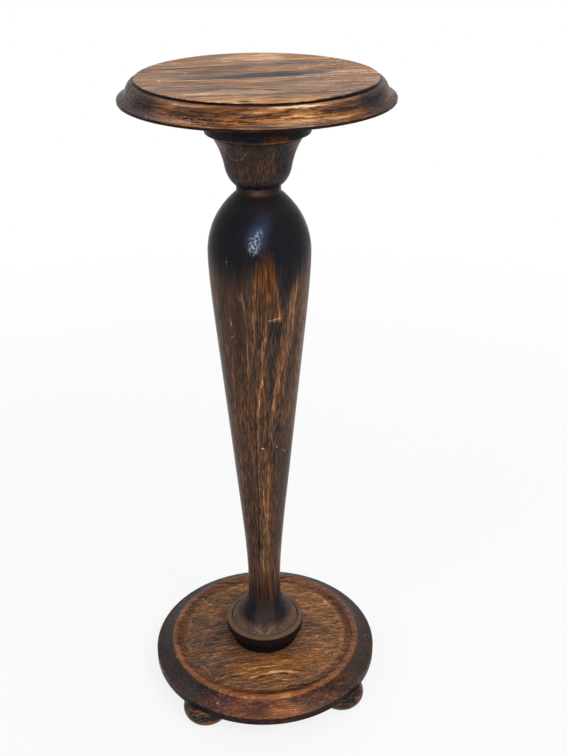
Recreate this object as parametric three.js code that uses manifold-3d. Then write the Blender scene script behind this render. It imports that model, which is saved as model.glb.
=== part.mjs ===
// Turned wooden pedestal stand: a round moulded top on a bell capital, a tapering
// column with a flared foot, and a round moulded base on four bun feet.
// Millimetres, +Z up. The origin is on the ground under the centre of the column.
// The grain of the base runs along X, and the feet stand on its diagonals.

import * as THREE from 'three';
import { mergeVertices } from 'three/addons/utils/BufferGeometryUtils.js';
import Module from 'manifold-3d';

const { lerp } = THREE.MathUtils;
const wasm = await Module();
wasm.setup();

// ---- Driving dimensions ----

// Heights of the pieces that stand on each other, from the ground up
const footHeight = 31.5;
const fieldThickness = 26.7; // base board under the column's seat
const shaftHeight = 723.5; // column from its seat to the top of the neck ring
const bellHeight = 66.5;
const plateThickness = 40;
const topThickness = 26.2;

// Round top: flat field, small quirk step, ovolo and cove down to a thin square edge
const topRadius = 168.4;
const topFieldRadius = 146.7;
const topQuirkDepth = 3;
const topQuirkWidth = 1.6;
const topOvoloWidth = 8.9;
const topOvoloHeight = 8.2;
const topEdgeHeight = 3.6;
const topEdgeRound = 0.5;

// Capital plate under the top: two half discs glued edge to edge
const plateRadius = 66;
const plateEdgeRound = 0.8;
const plateBoreDepth = 30;

// Bell capital
const bellOverhang = 0.5; // bell's foot past the neck ring
const bellWaistRadius = 42.5;
const bellWaistHeight = 25.3;
const bellLipRadius = 57.5;
const bellLipHeight = 4.2;

// Column: neck ring, shoulder, taper, slim neck, flared cone and foot disc
const ringRadius = 28.3;
const ringHeight = 9.2;
const shoulderRadius = 67.1;
const shoulderDrop = 91.7; // widest place, below the top of the ring
const taperTopRadius = 61.1;
const taperTopDrop = 181.7;
const taperFootRadius = 32.6;
const taperFootHeight = 241.8; // above the seat, as the heights below
const neckRadius = 24.2;
const neckTopHeight = 112;
const neckFootHeight = 88;
const coneTopRadius = 30;
const coneTopHeight = 63;
const coneFootRadius = 50.5;
const coneFootHeight = 35.2;
const discRadius = 58.9;
const discTopHeight = 33.6;
const discSideHeight = 13.2;
const seatRadius = 50;
const seatRise = 7;
const columnSeam = THREE.MathUtils.degToRad(-11.8); // glue joint, turned from the front

// Round base: sunk field with a bead, a groove and a raised lip, and a cove to the rim
const baseRadius = 169.3;
const baseRimHeight = 12;
const baseRimRound = 0.6;
const baseCoveWidth = 25.8; // from the rim in to the lip
const lipRise = 1.5;
const lipWidth = 7.7;
const lipRound = 1.6;
const grooveWidth = 4.8;
const grooveDepth = 1.2;
const beadWidth = 7;
const beadRise = 0.6;
const stripWidth = 42.9; // back strip, from the rim to its glue joint

// Bun feet, on the diagonals of the base
const footInset = 24.9; // from the rim in to the middle of each foot
const footRadius = 33.7;
const footSoleRadius = 22.3;
const footCrownRadius = 27.9;
const footBulgeHeight = 18;

// Hidden joinery
const glueLine = 0.3; // between two boards glued edge to edge
const fitGap = 0.3; // round each pin, tenon and screw
const endGap = 1.5; // past the end of each pin, tenon and screw
const bellTenonRadius = 14;
const baseTenonRadius = 13;
const footDowelRadius = 5;
const footDowelInFoot = 16;
const footDowelInBase = 18;
const lagRadius = 4;
const lagLength = 85;
const lagTipLength = 8;
const lagHeadRadius = 7.5;
const lagHeadHeight = 5.5;
const washerRadius = 22;
const washerThickness = 2.5;
const plateScrewCircle = 38;
const plateScrewRadius = 2.4;
const plateScrewHeadRadius = 4.8;
const plateScrewInTop = 14;
const plateScrewTipLength = 5;
const plateScrewSlotWidth = 1.2;
const plateScrewSlotDepth = 1.4;

// Where each curve bends to, as shares of its run outwards and upwards
const topCoveBend = [0.85, 0.4];
const topOvoloBend = [0.3, 0.9];
const bellSwellBends = [[0.7, 0.27], [0.92, 0.7]];
const bellFlareBend = [0.29, 0.58];
const shoulderBends = [[0, 0.15], [0, 0.6]];
const coneBend = [1, 0.25];
const discBend = [0, 1];
const baseCoveBend = [0.72, 0.4];
const lipBend = [0, 1];
const footLowerBend = [1, 0.4];
const footUpperBend = [0, 0.55];

// Smoothness
const boardSides = 48;
const columnSides = 40;
const footSides = 28;
const pinSides = 16;
const curveSteps = 6;
const past = 1; // how far a cutter goes past what it cuts

// ---- Places that follow from them ----

const baseUnderside = footHeight;
const baseField = baseUnderside + fieldThickness;
const lipTop = baseField + lipRise;
const lipRadius = baseRadius - baseCoveWidth;
const stripJoint = baseRadius - stripWidth;
const footCircle = baseRadius - footInset;
const columnSeat = baseField;
const ringTop = columnSeat + shaftHeight;
const plateUnderside = ringTop + bellHeight;
const topUnderside = plateUnderside + plateThickness;
const topFace = topUnderside + topThickness;
const plateScrewTip = topUnderside + plateScrewInTop;
const lagHeadTop = baseUnderside - washerThickness;
const lagTip = lagHeadTop + lagLength;
const quarterTurn = Math.PI / 2;

// Turns from the front, for the feet and the screws above the bell
const corners = {
  front_left: -quarterTurn / 2,
  front_right: quarterTurn / 2,
  back_right: 3 * quarterTurn / 2,
  back_left: -3 * quarterTurn / 2,
};

// ---- Shape helpers ----

// Closed solid from a closed geometry, without the flat slivers on the axis
function solidFrom(geometry) {
  geometry.deleteAttribute('normal');
  geometry.deleteAttribute('uv');
  const merged = mergeVertices(geometry, 1e-4);
  const corners = merged.index.array;
  const kept = [];
  for (let i = 0; i < corners.length; i += 3) {
    const [a, b, c] = corners.slice(i, i + 3);
    if (a !== b && b !== c && c !== a) kept.push(a, b, c);
  }
  return new wasm.Manifold(new wasm.Mesh({
    numProp: 3,
    vertProperties: new Float32Array(merged.attributes.position.array),
    triVerts: new Uint32Array(kept),
  }));
}

// Carries an outline on to a radius and height by a curve with one bend
function bend(outline, [out, up], radius, height) {
  const { x, y } = outline.currentPoint;
  outline.quadraticCurveTo(lerp(x, radius, out), lerp(y, height, up), radius, height);
}

// The same by a curve with two bends
function swell(outline, [first, second], radius, height) {
  const { x, y } = outline.currentPoint;
  const places = [first, second].map(([out, up]) => [lerp(x, radius, out), lerp(y, height, up)]);
  outline.bezierCurveTo(...places[0], ...places[1], radius, height);
}

function geometryFrom(solid) {
  const mesh = solid.getMesh();
  const geometry = new THREE.BufferGeometry();
  geometry.setAttribute('position', new THREE.BufferAttribute(mesh.vertProperties, 3));
  geometry.setIndex(new THREE.BufferAttribute(mesh.triVerts, 1));
  geometry.computeVertexNormals();
  return geometry;
}

// Solid turned about Z from an outline of radius and height that goes upwards.
// Its first row of corners lies at the given turn from the front, which is -Y.
function turned(outline, sides, turn = 0) {
  const geometry = new THREE.LatheGeometry(outline.getPoints(curveSteps), sides, turn);
  geometry.rotateX(quarterTurn);
  return solidFrom(geometry);
}

// Plain round pin or drill between two heights
function pin(radius, low, high, sides = pinSides) {
  const geometry = new THREE.CylinderGeometry(radius, radius, high - low, sides);
  geometry.rotateX(quarterTurn);
  geometry.translate(0, 0, (low + high) / 2);
  return solidFrom(geometry);
}

function box(low, high) {
  const size = high.map((value, i) => value - low[i]);
  const geometry = new THREE.BoxGeometry(...size);
  geometry.translate(...high.map((value, i) => (value + low[i]) / 2));
  return solidFrom(geometry);
}

// Everything on one side of an upright glue line through the Z axis
function sideOf(plane, side, reach, low, high) {
  const outer = reach + past;
  const near = side > 0 ? glueLine / 2 : -outer;
  const far = side > 0 ? outer : -glueLine / 2;
  const half = box([near, -outer, low - past], [far, outer, high + past]);
  return half.rotate([0, 0, THREE.MathUtils.radToDeg(plane)]);
}

// Place on a circle round the column, at a turn from the front
function onCircle(radius, turn) {
  return [radius * Math.sin(turn), -radius * Math.cos(turn), 0];
}

// ---- Top and capital ----

function topBoard() {
  const cornice = topFieldRadius + topQuirkWidth;
  const corniceTop = topFace - topQuirkDepth;
  const coveRadius = cornice + topOvoloWidth;
  const coveTop = corniceTop - topOvoloHeight;
  const edgeTop = topUnderside + topEdgeHeight;
  const outline = new THREE.Path();
  outline.moveTo(0, topUnderside);
  outline.lineTo(topRadius - topEdgeRound, topUnderside);
  outline.lineTo(topRadius, topUnderside + topEdgeRound);
  outline.lineTo(topRadius, edgeTop - topEdgeRound);
  outline.lineTo(topRadius - topEdgeRound, edgeTop);
  bend(outline, topCoveBend, coveRadius, coveTop);
  bend(outline, topOvoloBend, cornice, corniceTop);
  outline.lineTo(topFieldRadius, corniceTop);
  outline.lineTo(topFieldRadius, topFace);
  outline.lineTo(0, topFace);
  let board = turned(outline, boardSides);
  const pilot = pin(plateScrewRadius + fitGap, topUnderside - past, plateScrewTip + endGap);
  for (const turn of Object.values(corners)) {
    board = board.subtract(pilot.translate(onCircle(plateScrewCircle, turn)));
  }
  return board;
}

function plateScrew() {
  const outline = new THREE.Path();
  outline.moveTo(0, plateUnderside);
  outline.lineTo(plateScrewHeadRadius, plateUnderside);
  outline.lineTo(plateScrewRadius, plateUnderside + plateScrewHeadRadius - plateScrewRadius);
  outline.lineTo(plateScrewRadius, plateScrewTip - plateScrewTipLength);
  outline.lineTo(0, plateScrewTip);
  const slot = box([-plateScrewHeadRadius, -plateScrewSlotWidth / 2, plateUnderside - past],
    [plateScrewHeadRadius, plateScrewSlotWidth / 2, plateUnderside + plateScrewSlotDepth]);
  return turned(outline, pinSides).subtract(slot);
}

function plateScrewHole() {
  const headRadius = plateScrewHeadRadius + fitGap;
  const shankRadius = plateScrewRadius + fitGap;
  const outline = new THREE.Path();
  outline.moveTo(0, plateUnderside - past);
  outline.lineTo(headRadius, plateUnderside - past);
  outline.lineTo(headRadius, plateUnderside + fitGap);
  outline.lineTo(shankRadius, plateUnderside + fitGap + headRadius - shankRadius);
  outline.lineTo(shankRadius, topUnderside + past);
  outline.lineTo(0, topUnderside + past);
  return turned(outline, pinSides);
}

function plateHalf(side) {
  const outline = new THREE.Path();
  outline.moveTo(0, plateUnderside);
  outline.lineTo(plateRadius - plateEdgeRound, plateUnderside);
  outline.lineTo(plateRadius, plateUnderside + plateEdgeRound);
  outline.lineTo(plateRadius, topUnderside);
  outline.lineTo(0, topUnderside);
  const bore = pin(bellTenonRadius + fitGap, plateUnderside - past,
    plateUnderside + plateBoreDepth, columnSides);
  let plate = turned(outline, columnSides).subtract(bore);
  for (const turn of Object.values(corners)) {
    plate = plate.subtract(plateScrewHole().translate(onCircle(plateScrewCircle, turn)));
  }
  return plate.intersect(sideOf(0, side, plateRadius, plateUnderside, topUnderside));
}

function bell() {
  const outline = new THREE.Path();
  outline.moveTo(0, ringTop);
  outline.lineTo(ringRadius + bellOverhang, ringTop);
  swell(outline, bellSwellBends, bellWaistRadius, ringTop + bellWaistHeight);
  bend(outline, bellFlareBend, bellLipRadius, plateUnderside - bellLipHeight);
  outline.lineTo(bellLipRadius, plateUnderside);
  outline.lineTo(0, plateUnderside);
  const bore = pin(bellTenonRadius + fitGap, ringTop - past, plateUnderside + past, columnSides);
  return turned(outline, columnSides).subtract(bore);
}

// ---- Column ----

function columnOutline() {
  const widest = ringTop - shoulderDrop;
  const ringFoot = ringTop - ringHeight;
  const discTop = columnSeat + discTopHeight;
  const discFoot = discTop - discSideHeight;
  const tenonFoot = baseUnderside + endGap;
  const tenonHead = plateUnderside + plateBoreDepth - endGap;
  const taperTop = ringTop - taperTopDrop;
  const taperFoot = columnSeat + taperFootHeight;
  const slope = (taperTopRadius - taperFootRadius) / (taperTop - taperFoot);
  const neckMeetsTaper = taperFoot - (taperFootRadius - neckRadius) / slope;
  const shoulderMeetsTaper = taperTop + (shoulderRadius - taperTopRadius) / slope;
  const outline = new THREE.Path();
  outline.moveTo(0, tenonFoot);
  outline.lineTo(baseTenonRadius, tenonFoot);
  outline.lineTo(baseTenonRadius, columnSeat);
  outline.lineTo(seatRadius, columnSeat);
  outline.lineTo(seatRadius, columnSeat + seatRise);
  bend(outline, discBend, discRadius, discFoot);
  outline.lineTo(discRadius, discTop);
  outline.lineTo(coneFootRadius, columnSeat + coneFootHeight);
  outline.lineTo(coneTopRadius, columnSeat + coneTopHeight);
  bend(outline, coneBend, neckRadius, columnSeat + neckFootHeight);
  outline.lineTo(neckRadius, columnSeat + neckTopHeight);
  outline.quadraticCurveTo(neckRadius, neckMeetsTaper, taperFootRadius, taperFoot);
  outline.lineTo(taperTopRadius, taperTop);
  outline.quadraticCurveTo(shoulderRadius, shoulderMeetsTaper, shoulderRadius, widest);
  swell(outline, shoulderBends, ringRadius, ringFoot);
  outline.lineTo(ringRadius, ringTop);
  outline.lineTo(bellTenonRadius, ringTop);
  outline.lineTo(bellTenonRadius, tenonHead);
  outline.lineTo(0, tenonHead);
  return outline;
}

// The column is turned from two glued halves
function columnHalf(side) {
  const drill = pin(lagRadius + fitGap, baseUnderside, lagTip + endGap);
  const whole = turned(columnOutline(), columnSides, columnSeam).subtract(drill);
  return whole.intersect(sideOf(columnSeam, side, shoulderRadius, baseUnderside, topUnderside));
}

function lagScrew() {
  const outline = new THREE.Path();
  outline.moveTo(0, lagHeadTop - lagHeadHeight / 2);
  outline.lineTo(lagRadius, lagHeadTop - lagHeadHeight / 2);
  outline.lineTo(lagRadius, lagTip - lagTipLength);
  outline.lineTo(0, lagTip);
  const head = pin(lagHeadRadius, lagHeadTop - lagHeadHeight, lagHeadTop, 6);
  return turned(outline, pinSides).add(head);
}

function washer() {
  const disc = pin(washerRadius, lagHeadTop, baseUnderside, columnSides);
  return disc.subtract(pin(lagRadius + fitGap, lagHeadTop - past, baseUnderside + past));
}

// ---- Base and feet ----

function wholeBase() {
  const rimTop = baseUnderside + baseRimHeight;
  const lipInner = lipRadius - lipWidth;
  const beadOuter = lipInner - grooveWidth;
  const outline = new THREE.Path();
  outline.moveTo(0, baseUnderside);
  outline.lineTo(baseRadius - baseRimRound, baseUnderside);
  outline.lineTo(baseRadius, baseUnderside + baseRimRound);
  outline.lineTo(baseRadius, rimTop - baseRimRound);
  outline.lineTo(baseRadius - baseRimRound, rimTop);
  bend(outline, baseCoveBend, lipRadius, lipTop - lipRound);
  bend(outline, lipBend, lipRadius - lipRound, lipTop);
  outline.lineTo(lipInner, lipTop);
  outline.lineTo(lipInner - grooveWidth / 2, baseField - grooveDepth);
  outline.lineTo(beadOuter, baseField);
  outline.lineTo(beadOuter - beadWidth / 2, baseField + beadRise);
  outline.lineTo(beadOuter - beadWidth, baseField);
  outline.lineTo(0, baseField);
  const mortise = pin(baseTenonRadius + fitGap, baseUnderside - past, baseField + past,
    columnSides);
  const bore = pin(footDowelRadius + fitGap, baseUnderside - past,
    baseUnderside + footDowelInBase + endGap);
  let base = turned(outline, boardSides).subtract(mortise);
  for (const turn of Object.values(corners)) {
    base = base.subtract(bore.translate(onCircle(footCircle, turn)));
  }
  return base;
}

// The base is a wide board with a narrow strip glued along its back edge
function baseBoard() {
  const reach = baseRadius + past;
  const edge = stripJoint - glueLine / 2;
  return wholeBase().intersect(box([-reach, -reach, 0], [reach, edge, lipTop + past]));
}

function baseBackStrip() {
  const reach = baseRadius + past;
  const edge = stripJoint + glueLine / 2;
  return wholeBase().intersect(box([-reach, edge, 0], [reach, reach, lipTop + past]));
}

function foot() {
  const outline = new THREE.Path();
  outline.moveTo(0, 0);
  outline.lineTo(footSoleRadius, 0);
  bend(outline, footLowerBend, footRadius, footBulgeHeight);
  bend(outline, footUpperBend, footCrownRadius, footHeight);
  outline.lineTo(0, footHeight);
  const bore = pin(footDowelRadius + fitGap, footHeight - footDowelInFoot - endGap,
    footHeight + past);
  return turned(outline, footSides).subtract(bore);
}

function footDowel() {
  return pin(footDowelRadius, footHeight - footDowelInFoot, baseUnderside + footDowelInBase);
}

// ---- Assembly ----

const stand = new THREE.Group();

function add(name, solid, look, place = [0, 0, 0]) {
  const mesh = new THREE.Mesh(geometryFrom(solid), new THREE.MeshStandardMaterial(look));
  mesh.name = name;
  mesh.position.set(...place);
  stand.add(mesh);
}

const bellLook = { color: '#33281f', roughness: 0.35, metalness: 0 };
const plainSteel = { color: '#7b7975', roughness: 0.5, metalness: 1 };

add('top_board', topBoard(), { color: '#8f5f40', roughness: 0.35, metalness: 0 });
add('capital_plate_left', plateHalf(-1), { color: '#2a211d', roughness: 0.4, metalness: 0 });
add('capital_plate_right', plateHalf(1), { color: '#32241b', roughness: 0.4, metalness: 0 });
add('capital_bell', bell(), bellLook);
add('column_left', columnHalf(-1), { color: '#3b2a20', roughness: 0.35, metalness: 0 });
add('column_right', columnHalf(1), { color: '#5a371f', roughness: 0.35, metalness: 0 });
add('column_lag_screw', lagScrew(), plainSteel);
add('column_washer', washer(), plainSteel);
add('base_board', baseBoard(), { color: '#7d4c27', roughness: 0.4, metalness: 0 });
add('base_back_strip', baseBackStrip(), { color: '#74421f', roughness: 0.4, metalness: 0 });

const footLook = { color: '#3d2618', roughness: 0.4, metalness: 0 };
const dowelLook = { color: '#b98f5c', roughness: 0.8, metalness: 0 };

for (const [place, turn] of Object.entries(corners)) {
  add(`plate_screw_${place}`, plateScrew(), plainSteel, onCircle(plateScrewCircle, turn));
  add(`foot_${place}`, foot(), footLook, onCircle(footCircle, turn));
  add(`foot_dowel_${place}`, footDowel(), dowelLook, onCircle(footCircle, turn));
}

export default stand;
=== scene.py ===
"""Turned wooden pedestal stand, dressed for a studio photograph.

Sizes are millimetres, in the stand's own frame: +Z up, the origin on the ground under the
column, the grain of the base along X. MM turns them into Blender's metres.
"""

import math

import bmesh
import bpy
from mathutils import Matrix, Vector


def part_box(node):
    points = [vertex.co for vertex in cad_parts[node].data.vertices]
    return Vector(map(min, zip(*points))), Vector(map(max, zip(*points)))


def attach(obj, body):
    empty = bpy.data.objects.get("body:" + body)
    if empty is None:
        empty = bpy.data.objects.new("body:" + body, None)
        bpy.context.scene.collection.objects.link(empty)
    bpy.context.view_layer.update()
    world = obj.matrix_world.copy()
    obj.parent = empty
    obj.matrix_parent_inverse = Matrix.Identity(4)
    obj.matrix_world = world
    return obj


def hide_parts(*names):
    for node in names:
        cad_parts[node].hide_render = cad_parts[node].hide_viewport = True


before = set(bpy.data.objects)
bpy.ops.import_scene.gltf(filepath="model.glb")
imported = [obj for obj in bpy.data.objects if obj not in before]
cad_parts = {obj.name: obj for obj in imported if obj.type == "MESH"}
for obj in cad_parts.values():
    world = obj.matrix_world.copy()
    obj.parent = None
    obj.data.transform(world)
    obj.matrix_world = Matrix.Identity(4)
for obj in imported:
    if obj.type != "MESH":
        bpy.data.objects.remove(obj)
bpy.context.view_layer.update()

MM = 0.001

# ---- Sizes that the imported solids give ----


def low(node):
    """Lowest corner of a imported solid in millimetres."""
    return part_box(node)[0] / MM


def high(node):
    """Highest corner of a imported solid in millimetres."""
    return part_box(node)[1] / MM


base_underside = low("base_board").z
lip_top = high("base_board").z
base_radius = high("base_board").x
ring_top = low("capital_bell").z
plate_underside = low("capital_plate_left").z
plate_radius = high("capital_plate_right").x
bell_lip_radius = high("capital_bell").x
top_underside = low("top_board").z
top_face = high("top_board").z
top_radius = high("top_board").x
foot_height = high("foot_front_left").z
foot_radius = (high("foot_front_left").x - low("foot_front_left").x) / 2

# ---- Sizes of the turned profiles ----

top_field_radius = 146.7
top_quirk_depth = 3.0
top_quirk_width = 1.6
top_ovolo_width = 8.9
top_ovolo_height = 8.2
top_edge_height = 3.6
top_mould_radius = 158.0  # middle of its moulding

bell_overhang = 0.5
ring_radius = 28.3
ring_height = 9.2
bell_waist_radius = 42.5
bell_waist_height = 25.3
bell_lip_height = 4.2

shoulder_radius = 67.1
shoulder_drop = 91.7
taper_top_radius = 61.1
taper_top_drop = 181.7
taper_foot_radius = 32.6
taper_foot_height = 241.8
neck_radius = 24.2
neck_top_height = 112.0
neck_foot_height = 88.0
cone_top_radius = 30.0
cone_top_height = 63.0
cone_foot_radius = 50.5
cone_foot_height = 35.2
disc_radius = 58.9
disc_top_height = 33.6
disc_side_height = 13.2
seat_radius = 50.0
seat_rise = 7.0
column_seam = math.radians(-11.8)  # glue joint of the column, turned from the front

base_rim_height = 12.0
base_cove_width = 25.8
lip_rise = 1.5
lip_width = 7.7
lip_round = 1.6
groove_radius = 130.0  # shallow groove inside the lip
groove_depth = 0.9
bead_outer = 125.0
bead_width = 9.0
bead_rise = 0.6
strip_width = 42.9

foot_sole_radius = 22.3
foot_crown_radius = 27.9
foot_bulge_height = 18.0

cornice_radius = top_field_radius + top_quirk_width
base_field = lip_top - lip_rise
base_rim_top = base_underside + base_rim_height
lip_radius = base_radius - base_cove_width
strip_joint = base_radius - strip_width
disc_top = base_field + disc_top_height
disc_foot = disc_top - disc_side_height
ring_foot = ring_top - ring_height

board_sides = 256
column_sides = 160
foot_sides = 96
curve_steps = 14
arris = 0.55  # how far a worn sharp edge is rounded
ring_beside = 1.6  # where the ring beside it lies, in the same measure
corner_turn = math.radians(20)  # an outline that turns less has no corner there

# ---- Turned shapes ----


def bend(outline, out_up, radius, height):
    """Carries an outline on to a radius and height by a curve with one bend."""
    x, y = outline[-1]
    bend_x = x + out_up[0] * (radius - x)
    bend_y = y + out_up[1] * (height - y)
    for step in range(1, curve_steps + 1):
        t = step / curve_steps
        s = 1 - t
        outline.append((s * s * x + 2 * s * t * bend_x + t * t * radius,
                        s * s * y + 2 * s * t * bend_y + t * t * height))


def swell(outline, first, second, radius, height):
    """Carries an outline on to a radius and height by a curve with two bends."""
    x, y = outline[-1]
    x1, y1 = x + first[0] * (radius - x), y + first[1] * (height - y)
    x2, y2 = x + second[0] * (radius - x), y + second[1] * (height - y)
    steps = 2 * curve_steps
    for step in range(1, steps + 1):
        t = step / steps
        s = 1 - t
        outline.append((s**3 * x + 3 * s * s * t * x1 + 3 * s * t * t * x2 + t**3 * radius,
                        s**3 * y + 3 * s * s * t * y1 + 3 * s * t * t * y2 + t**3 * height))


def eased(outline, ease=arris):
    """Rounds every sharp corner of an outline, with a ring beside it to keep faces flat."""
    points = [Vector(point) for point in outline]
    done = [points[0]]
    for before, here, after in zip(points, points[1:], points[2:]):
        back, on = before - here, after - here
        if math.pi - back.angle(on) < corner_turn:
            done.append(here)
            continue
        reach = min(ease, 0.45 * back.length, 0.45 * on.length)
        back.normalize()
        on.normalize()
        done.append(here + back * reach * ring_beside)
        for t in (0, 0.25, 0.5, 0.75, 1):
            done.append(here + back * reach * (1 - t) ** 2 + on * reach * t**2)
        done.append(here + on * reach * ring_beside)
    done.append(points[-1])
    return done


def turned(name, outline, sides, start=0.0, sweep=2 * math.pi, centre=(0, 0)):
    """Solid turned about an upright axis from an outline of radius and height.

    start is the turn of its first edge from the front, which is -Y. A sweep under a full turn
    leaves flat faces at both ends, closed along the axis.
    """
    whole = sweep > 1.99 * math.pi
    steps = sides if whole else round(sides * sweep / (2 * math.pi))
    columns = steps if whole else steps + 1
    vertices = []
    faces = []
    rings = []
    for radius, height in outline:
        if radius < 1e-6:
            vertices.append((centre[0], centre[1], height))
            rings.append([len(vertices) - 1] * columns)
            continue
        ring = []
        for column in range(columns):
            turn = start + sweep * column / steps
            ring.append(len(vertices))
            vertices.append((centre[0] + radius * math.sin(turn),
                             centre[1] - radius * math.cos(turn), height))
        rings.append(ring)
    for lower, upper in zip(rings, rings[1:]):
        for column in range(steps):
            after = (column + 1) % columns
            corners = [lower[column], lower[after], upper[after], upper[column]]
            face = [c for i, c in enumerate(corners) if c not in corners[:i]]
            if len(face) > 2:
                faces.append(face)
    smooth = len(faces)
    if not whole:
        faces += end_faces(vertices, rings, outline, centre)
    mesh = bpy.data.meshes.new(name)
    mesh.from_pydata([Vector(v) * MM for v in vertices], [], faces)
    for index, polygon in enumerate(mesh.polygons):
        polygon.use_smooth = index < smooth
    mesh.update()
    piece = bpy.data.objects.new(name, mesh)
    bpy.context.scene.collection.objects.link(piece)
    return piece


def sawn(piece, joint, behind):
    """Cuts a piece along a straight joint and keeps the part behind it, or the one before."""
    mesh = bmesh.new()
    mesh.from_mesh(piece.data)
    cut = bmesh.ops.bisect_plane(
        mesh, geom=mesh.verts[:] + mesh.edges[:] + mesh.faces[:], plane_co=(0, joint * MM, 0),
        plane_no=(0, 1, 0), clear_inner=behind, clear_outer=not behind)
    rim = [part for part in cut["geom_cut"] if isinstance(part, bmesh.types.BMEdge)]
    for face in bmesh.ops.holes_fill(mesh, edges=rim)["faces"]:
        face.smooth = False
    for edge in rim:
        edge.smooth = False
    mesh.to_mesh(piece.data)
    mesh.free()
    return piece


def end_faces(vertices, rings, outline, centre):
    """Flat faces from the two ends of a part turn in to the axis, with corners of their own."""
    faces = []
    for side in (0, -1):
        inner = []
        outer = []
        for ring, (_, height) in zip(rings, outline):
            outer.append(len(vertices))
            vertices.append(vertices[ring[side]])
            inner.append(len(vertices))
            vertices.append((centre[0], centre[1], height))
        for i in range(len(outline) - 1):
            if abs(outline[i][1] - outline[i + 1][1]) < 1e-6:
                continue
            face = [outer[i], outer[i + 1], inner[i + 1], inner[i]]
            faces.append(face if side else face[::-1])
    return faces


# ---- Outlines of the pieces ----


def top_outline():
    cornice_top = top_face - top_quirk_depth
    cove_radius = cornice_radius + top_ovolo_width
    cove_top = cornice_top - top_ovolo_height
    edge_top = top_underside + top_edge_height
    outline = [(0, top_underside), (top_radius, top_underside), (top_radius, edge_top)]
    bend(outline, (0.85, 0.4), cove_radius, cove_top)
    bend(outline, (0.3, 0.9), cornice_radius, cornice_top)
    outline += [(top_field_radius, cornice_top), (top_field_radius, top_face), (0, top_face)]
    return eased(outline)


def plate_outline():
    return eased([(0, plate_underside), (plate_radius, plate_underside),
                  (plate_radius, top_underside), (0, top_underside)], 0.8)


def bell_outline():
    outline = [(0, ring_top), (ring_radius + bell_overhang, ring_top)]
    swell(outline, (0.7, 0.27), (0.92, 0.7), bell_waist_radius, ring_top + bell_waist_height)
    bend(outline, (0.29, 0.58), bell_lip_radius, plate_underside - bell_lip_height)
    outline += [(bell_lip_radius, plate_underside), (0, plate_underside)]
    return eased(outline)


def column_outline():
    seat = base_field
    widest = ring_top - shoulder_drop
    taper_top = ring_top - taper_top_drop
    taper_foot = seat + taper_foot_height
    slope = (taper_top_radius - taper_foot_radius) / (taper_top - taper_foot)
    neck_top = seat + neck_top_height
    neck_meets = taper_foot - (taper_foot_radius - neck_radius) / slope
    neck_share = (neck_meets - neck_top) / (taper_foot - neck_top)
    shoulder_meets = taper_top + (shoulder_radius - taper_top_radius) / slope
    shoulder_share = (shoulder_meets - taper_top) / (widest - taper_top)
    outline = [(0, seat), (seat_radius, seat), (seat_radius, seat + seat_rise)]
    bend(outline, (0, 1), disc_radius, disc_foot)
    outline += [(disc_radius, disc_top), (cone_foot_radius, seat + cone_foot_height),
                (cone_top_radius, seat + cone_top_height)]
    bend(outline, (1, 0.25), neck_radius, seat + neck_foot_height)
    outline.append((neck_radius, neck_top))
    bend(outline, (0, neck_share), taper_foot_radius, taper_foot)
    outline.append((taper_top_radius, taper_top))
    bend(outline, (1, shoulder_share), shoulder_radius, widest)
    swell(outline, (0, 0.15), (0, 0.6), ring_radius, ring_foot)
    outline += [(ring_radius, ring_top), (0, ring_top)]
    return eased(outline)


def base_outline():
    lip_inner = lip_radius - lip_width
    outline = [(0, base_underside), (base_radius, base_underside), (base_radius, base_rim_top)]
    bend(outline, (0.72, 0.4), lip_radius, lip_top - lip_round)
    bend(outline, (0, 1), lip_radius - lip_round, lip_top)
    outline.append((lip_inner, lip_top))
    bend(outline, (0.4, 1), groove_radius, base_field - groove_depth)
    bend(outline, (0.5, 0), bead_outer, base_field)
    bend(outline, (0.5, 0), bead_outer - bead_width / 2, base_field + bead_rise)
    bend(outline, (0.5, 0), bead_outer - bead_width, base_field)
    outline.append((0, base_field))
    return eased(outline)


def foot_outline():
    outline = [(0, 0), (foot_sole_radius, 0)]
    bend(outline, (1, 0.4), foot_radius, foot_bulge_height)
    bend(outline, (0, 0.55), foot_crown_radius, foot_height)
    outline.append((0, foot_height))
    return eased(outline)


# ---- Materials ----

# The photographed side of the stand is turned this far from -Y towards -X. Marks that lie on
# the photographed side are placed across and up, or across and back, as seen from there.
front_turn = math.radians(6.9)


def linear(hex_colour):
    """A linear colour from an sRGB hex value."""
    channels = [int(hex_colour[i:i + 2], 16) / 255 for i in (1, 3, 5)]
    curve = [c / 12.92 if c <= 0.04045 else ((c + 0.055) / 1.055) ** 2.4 for c in channels]
    return (*curve, 1.0)


# What a word given as a node's settings chooses
CHOICES = {"Math": "operation", "VectorMath": "operation", "MapRange": "interpolation_type",
           "Mapping": "vector_type", "Mix": "data_type"}


def add(tree, kind, settings=(), *feeds, **links):
    """Adds a node to a tree, sets its properties, and feeds its inputs as feed does.

    The settings are a dictionary, or one word for the node's main choice. In them, stops
    fills a colour ramp and curves the red, green and blue curves of a curve node.
    """
    node = tree.nodes.new("ShaderNode" + kind)
    if isinstance(settings, str):
        settings = {CHOICES[kind]: settings}
    for name, value in dict(settings).items():
        if name == "stops":
            ramp = node.color_ramp.elements
            while len(ramp) < len(value):
                ramp.new(0.5)
            for stop, (position, colour) in zip(ramp, value):
                stop.position = position
                stop.color = linear(colour)
        elif name == "curves":
            node.mapping.extend = "HORIZONTAL"
            for curve, points in zip(node.mapping.curves, value):
                while len(curve.points) < len(points):
                    curve.points.new(0.5, 0.5)
                for point, place in zip(curve.points, points):
                    point.location = place
                    point.handle_type = "AUTO_CLAMPED"
            node.mapping.update()
        else:
            setattr(node, name, value)
    feed(tree, node, *feeds, **links)
    return node


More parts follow.
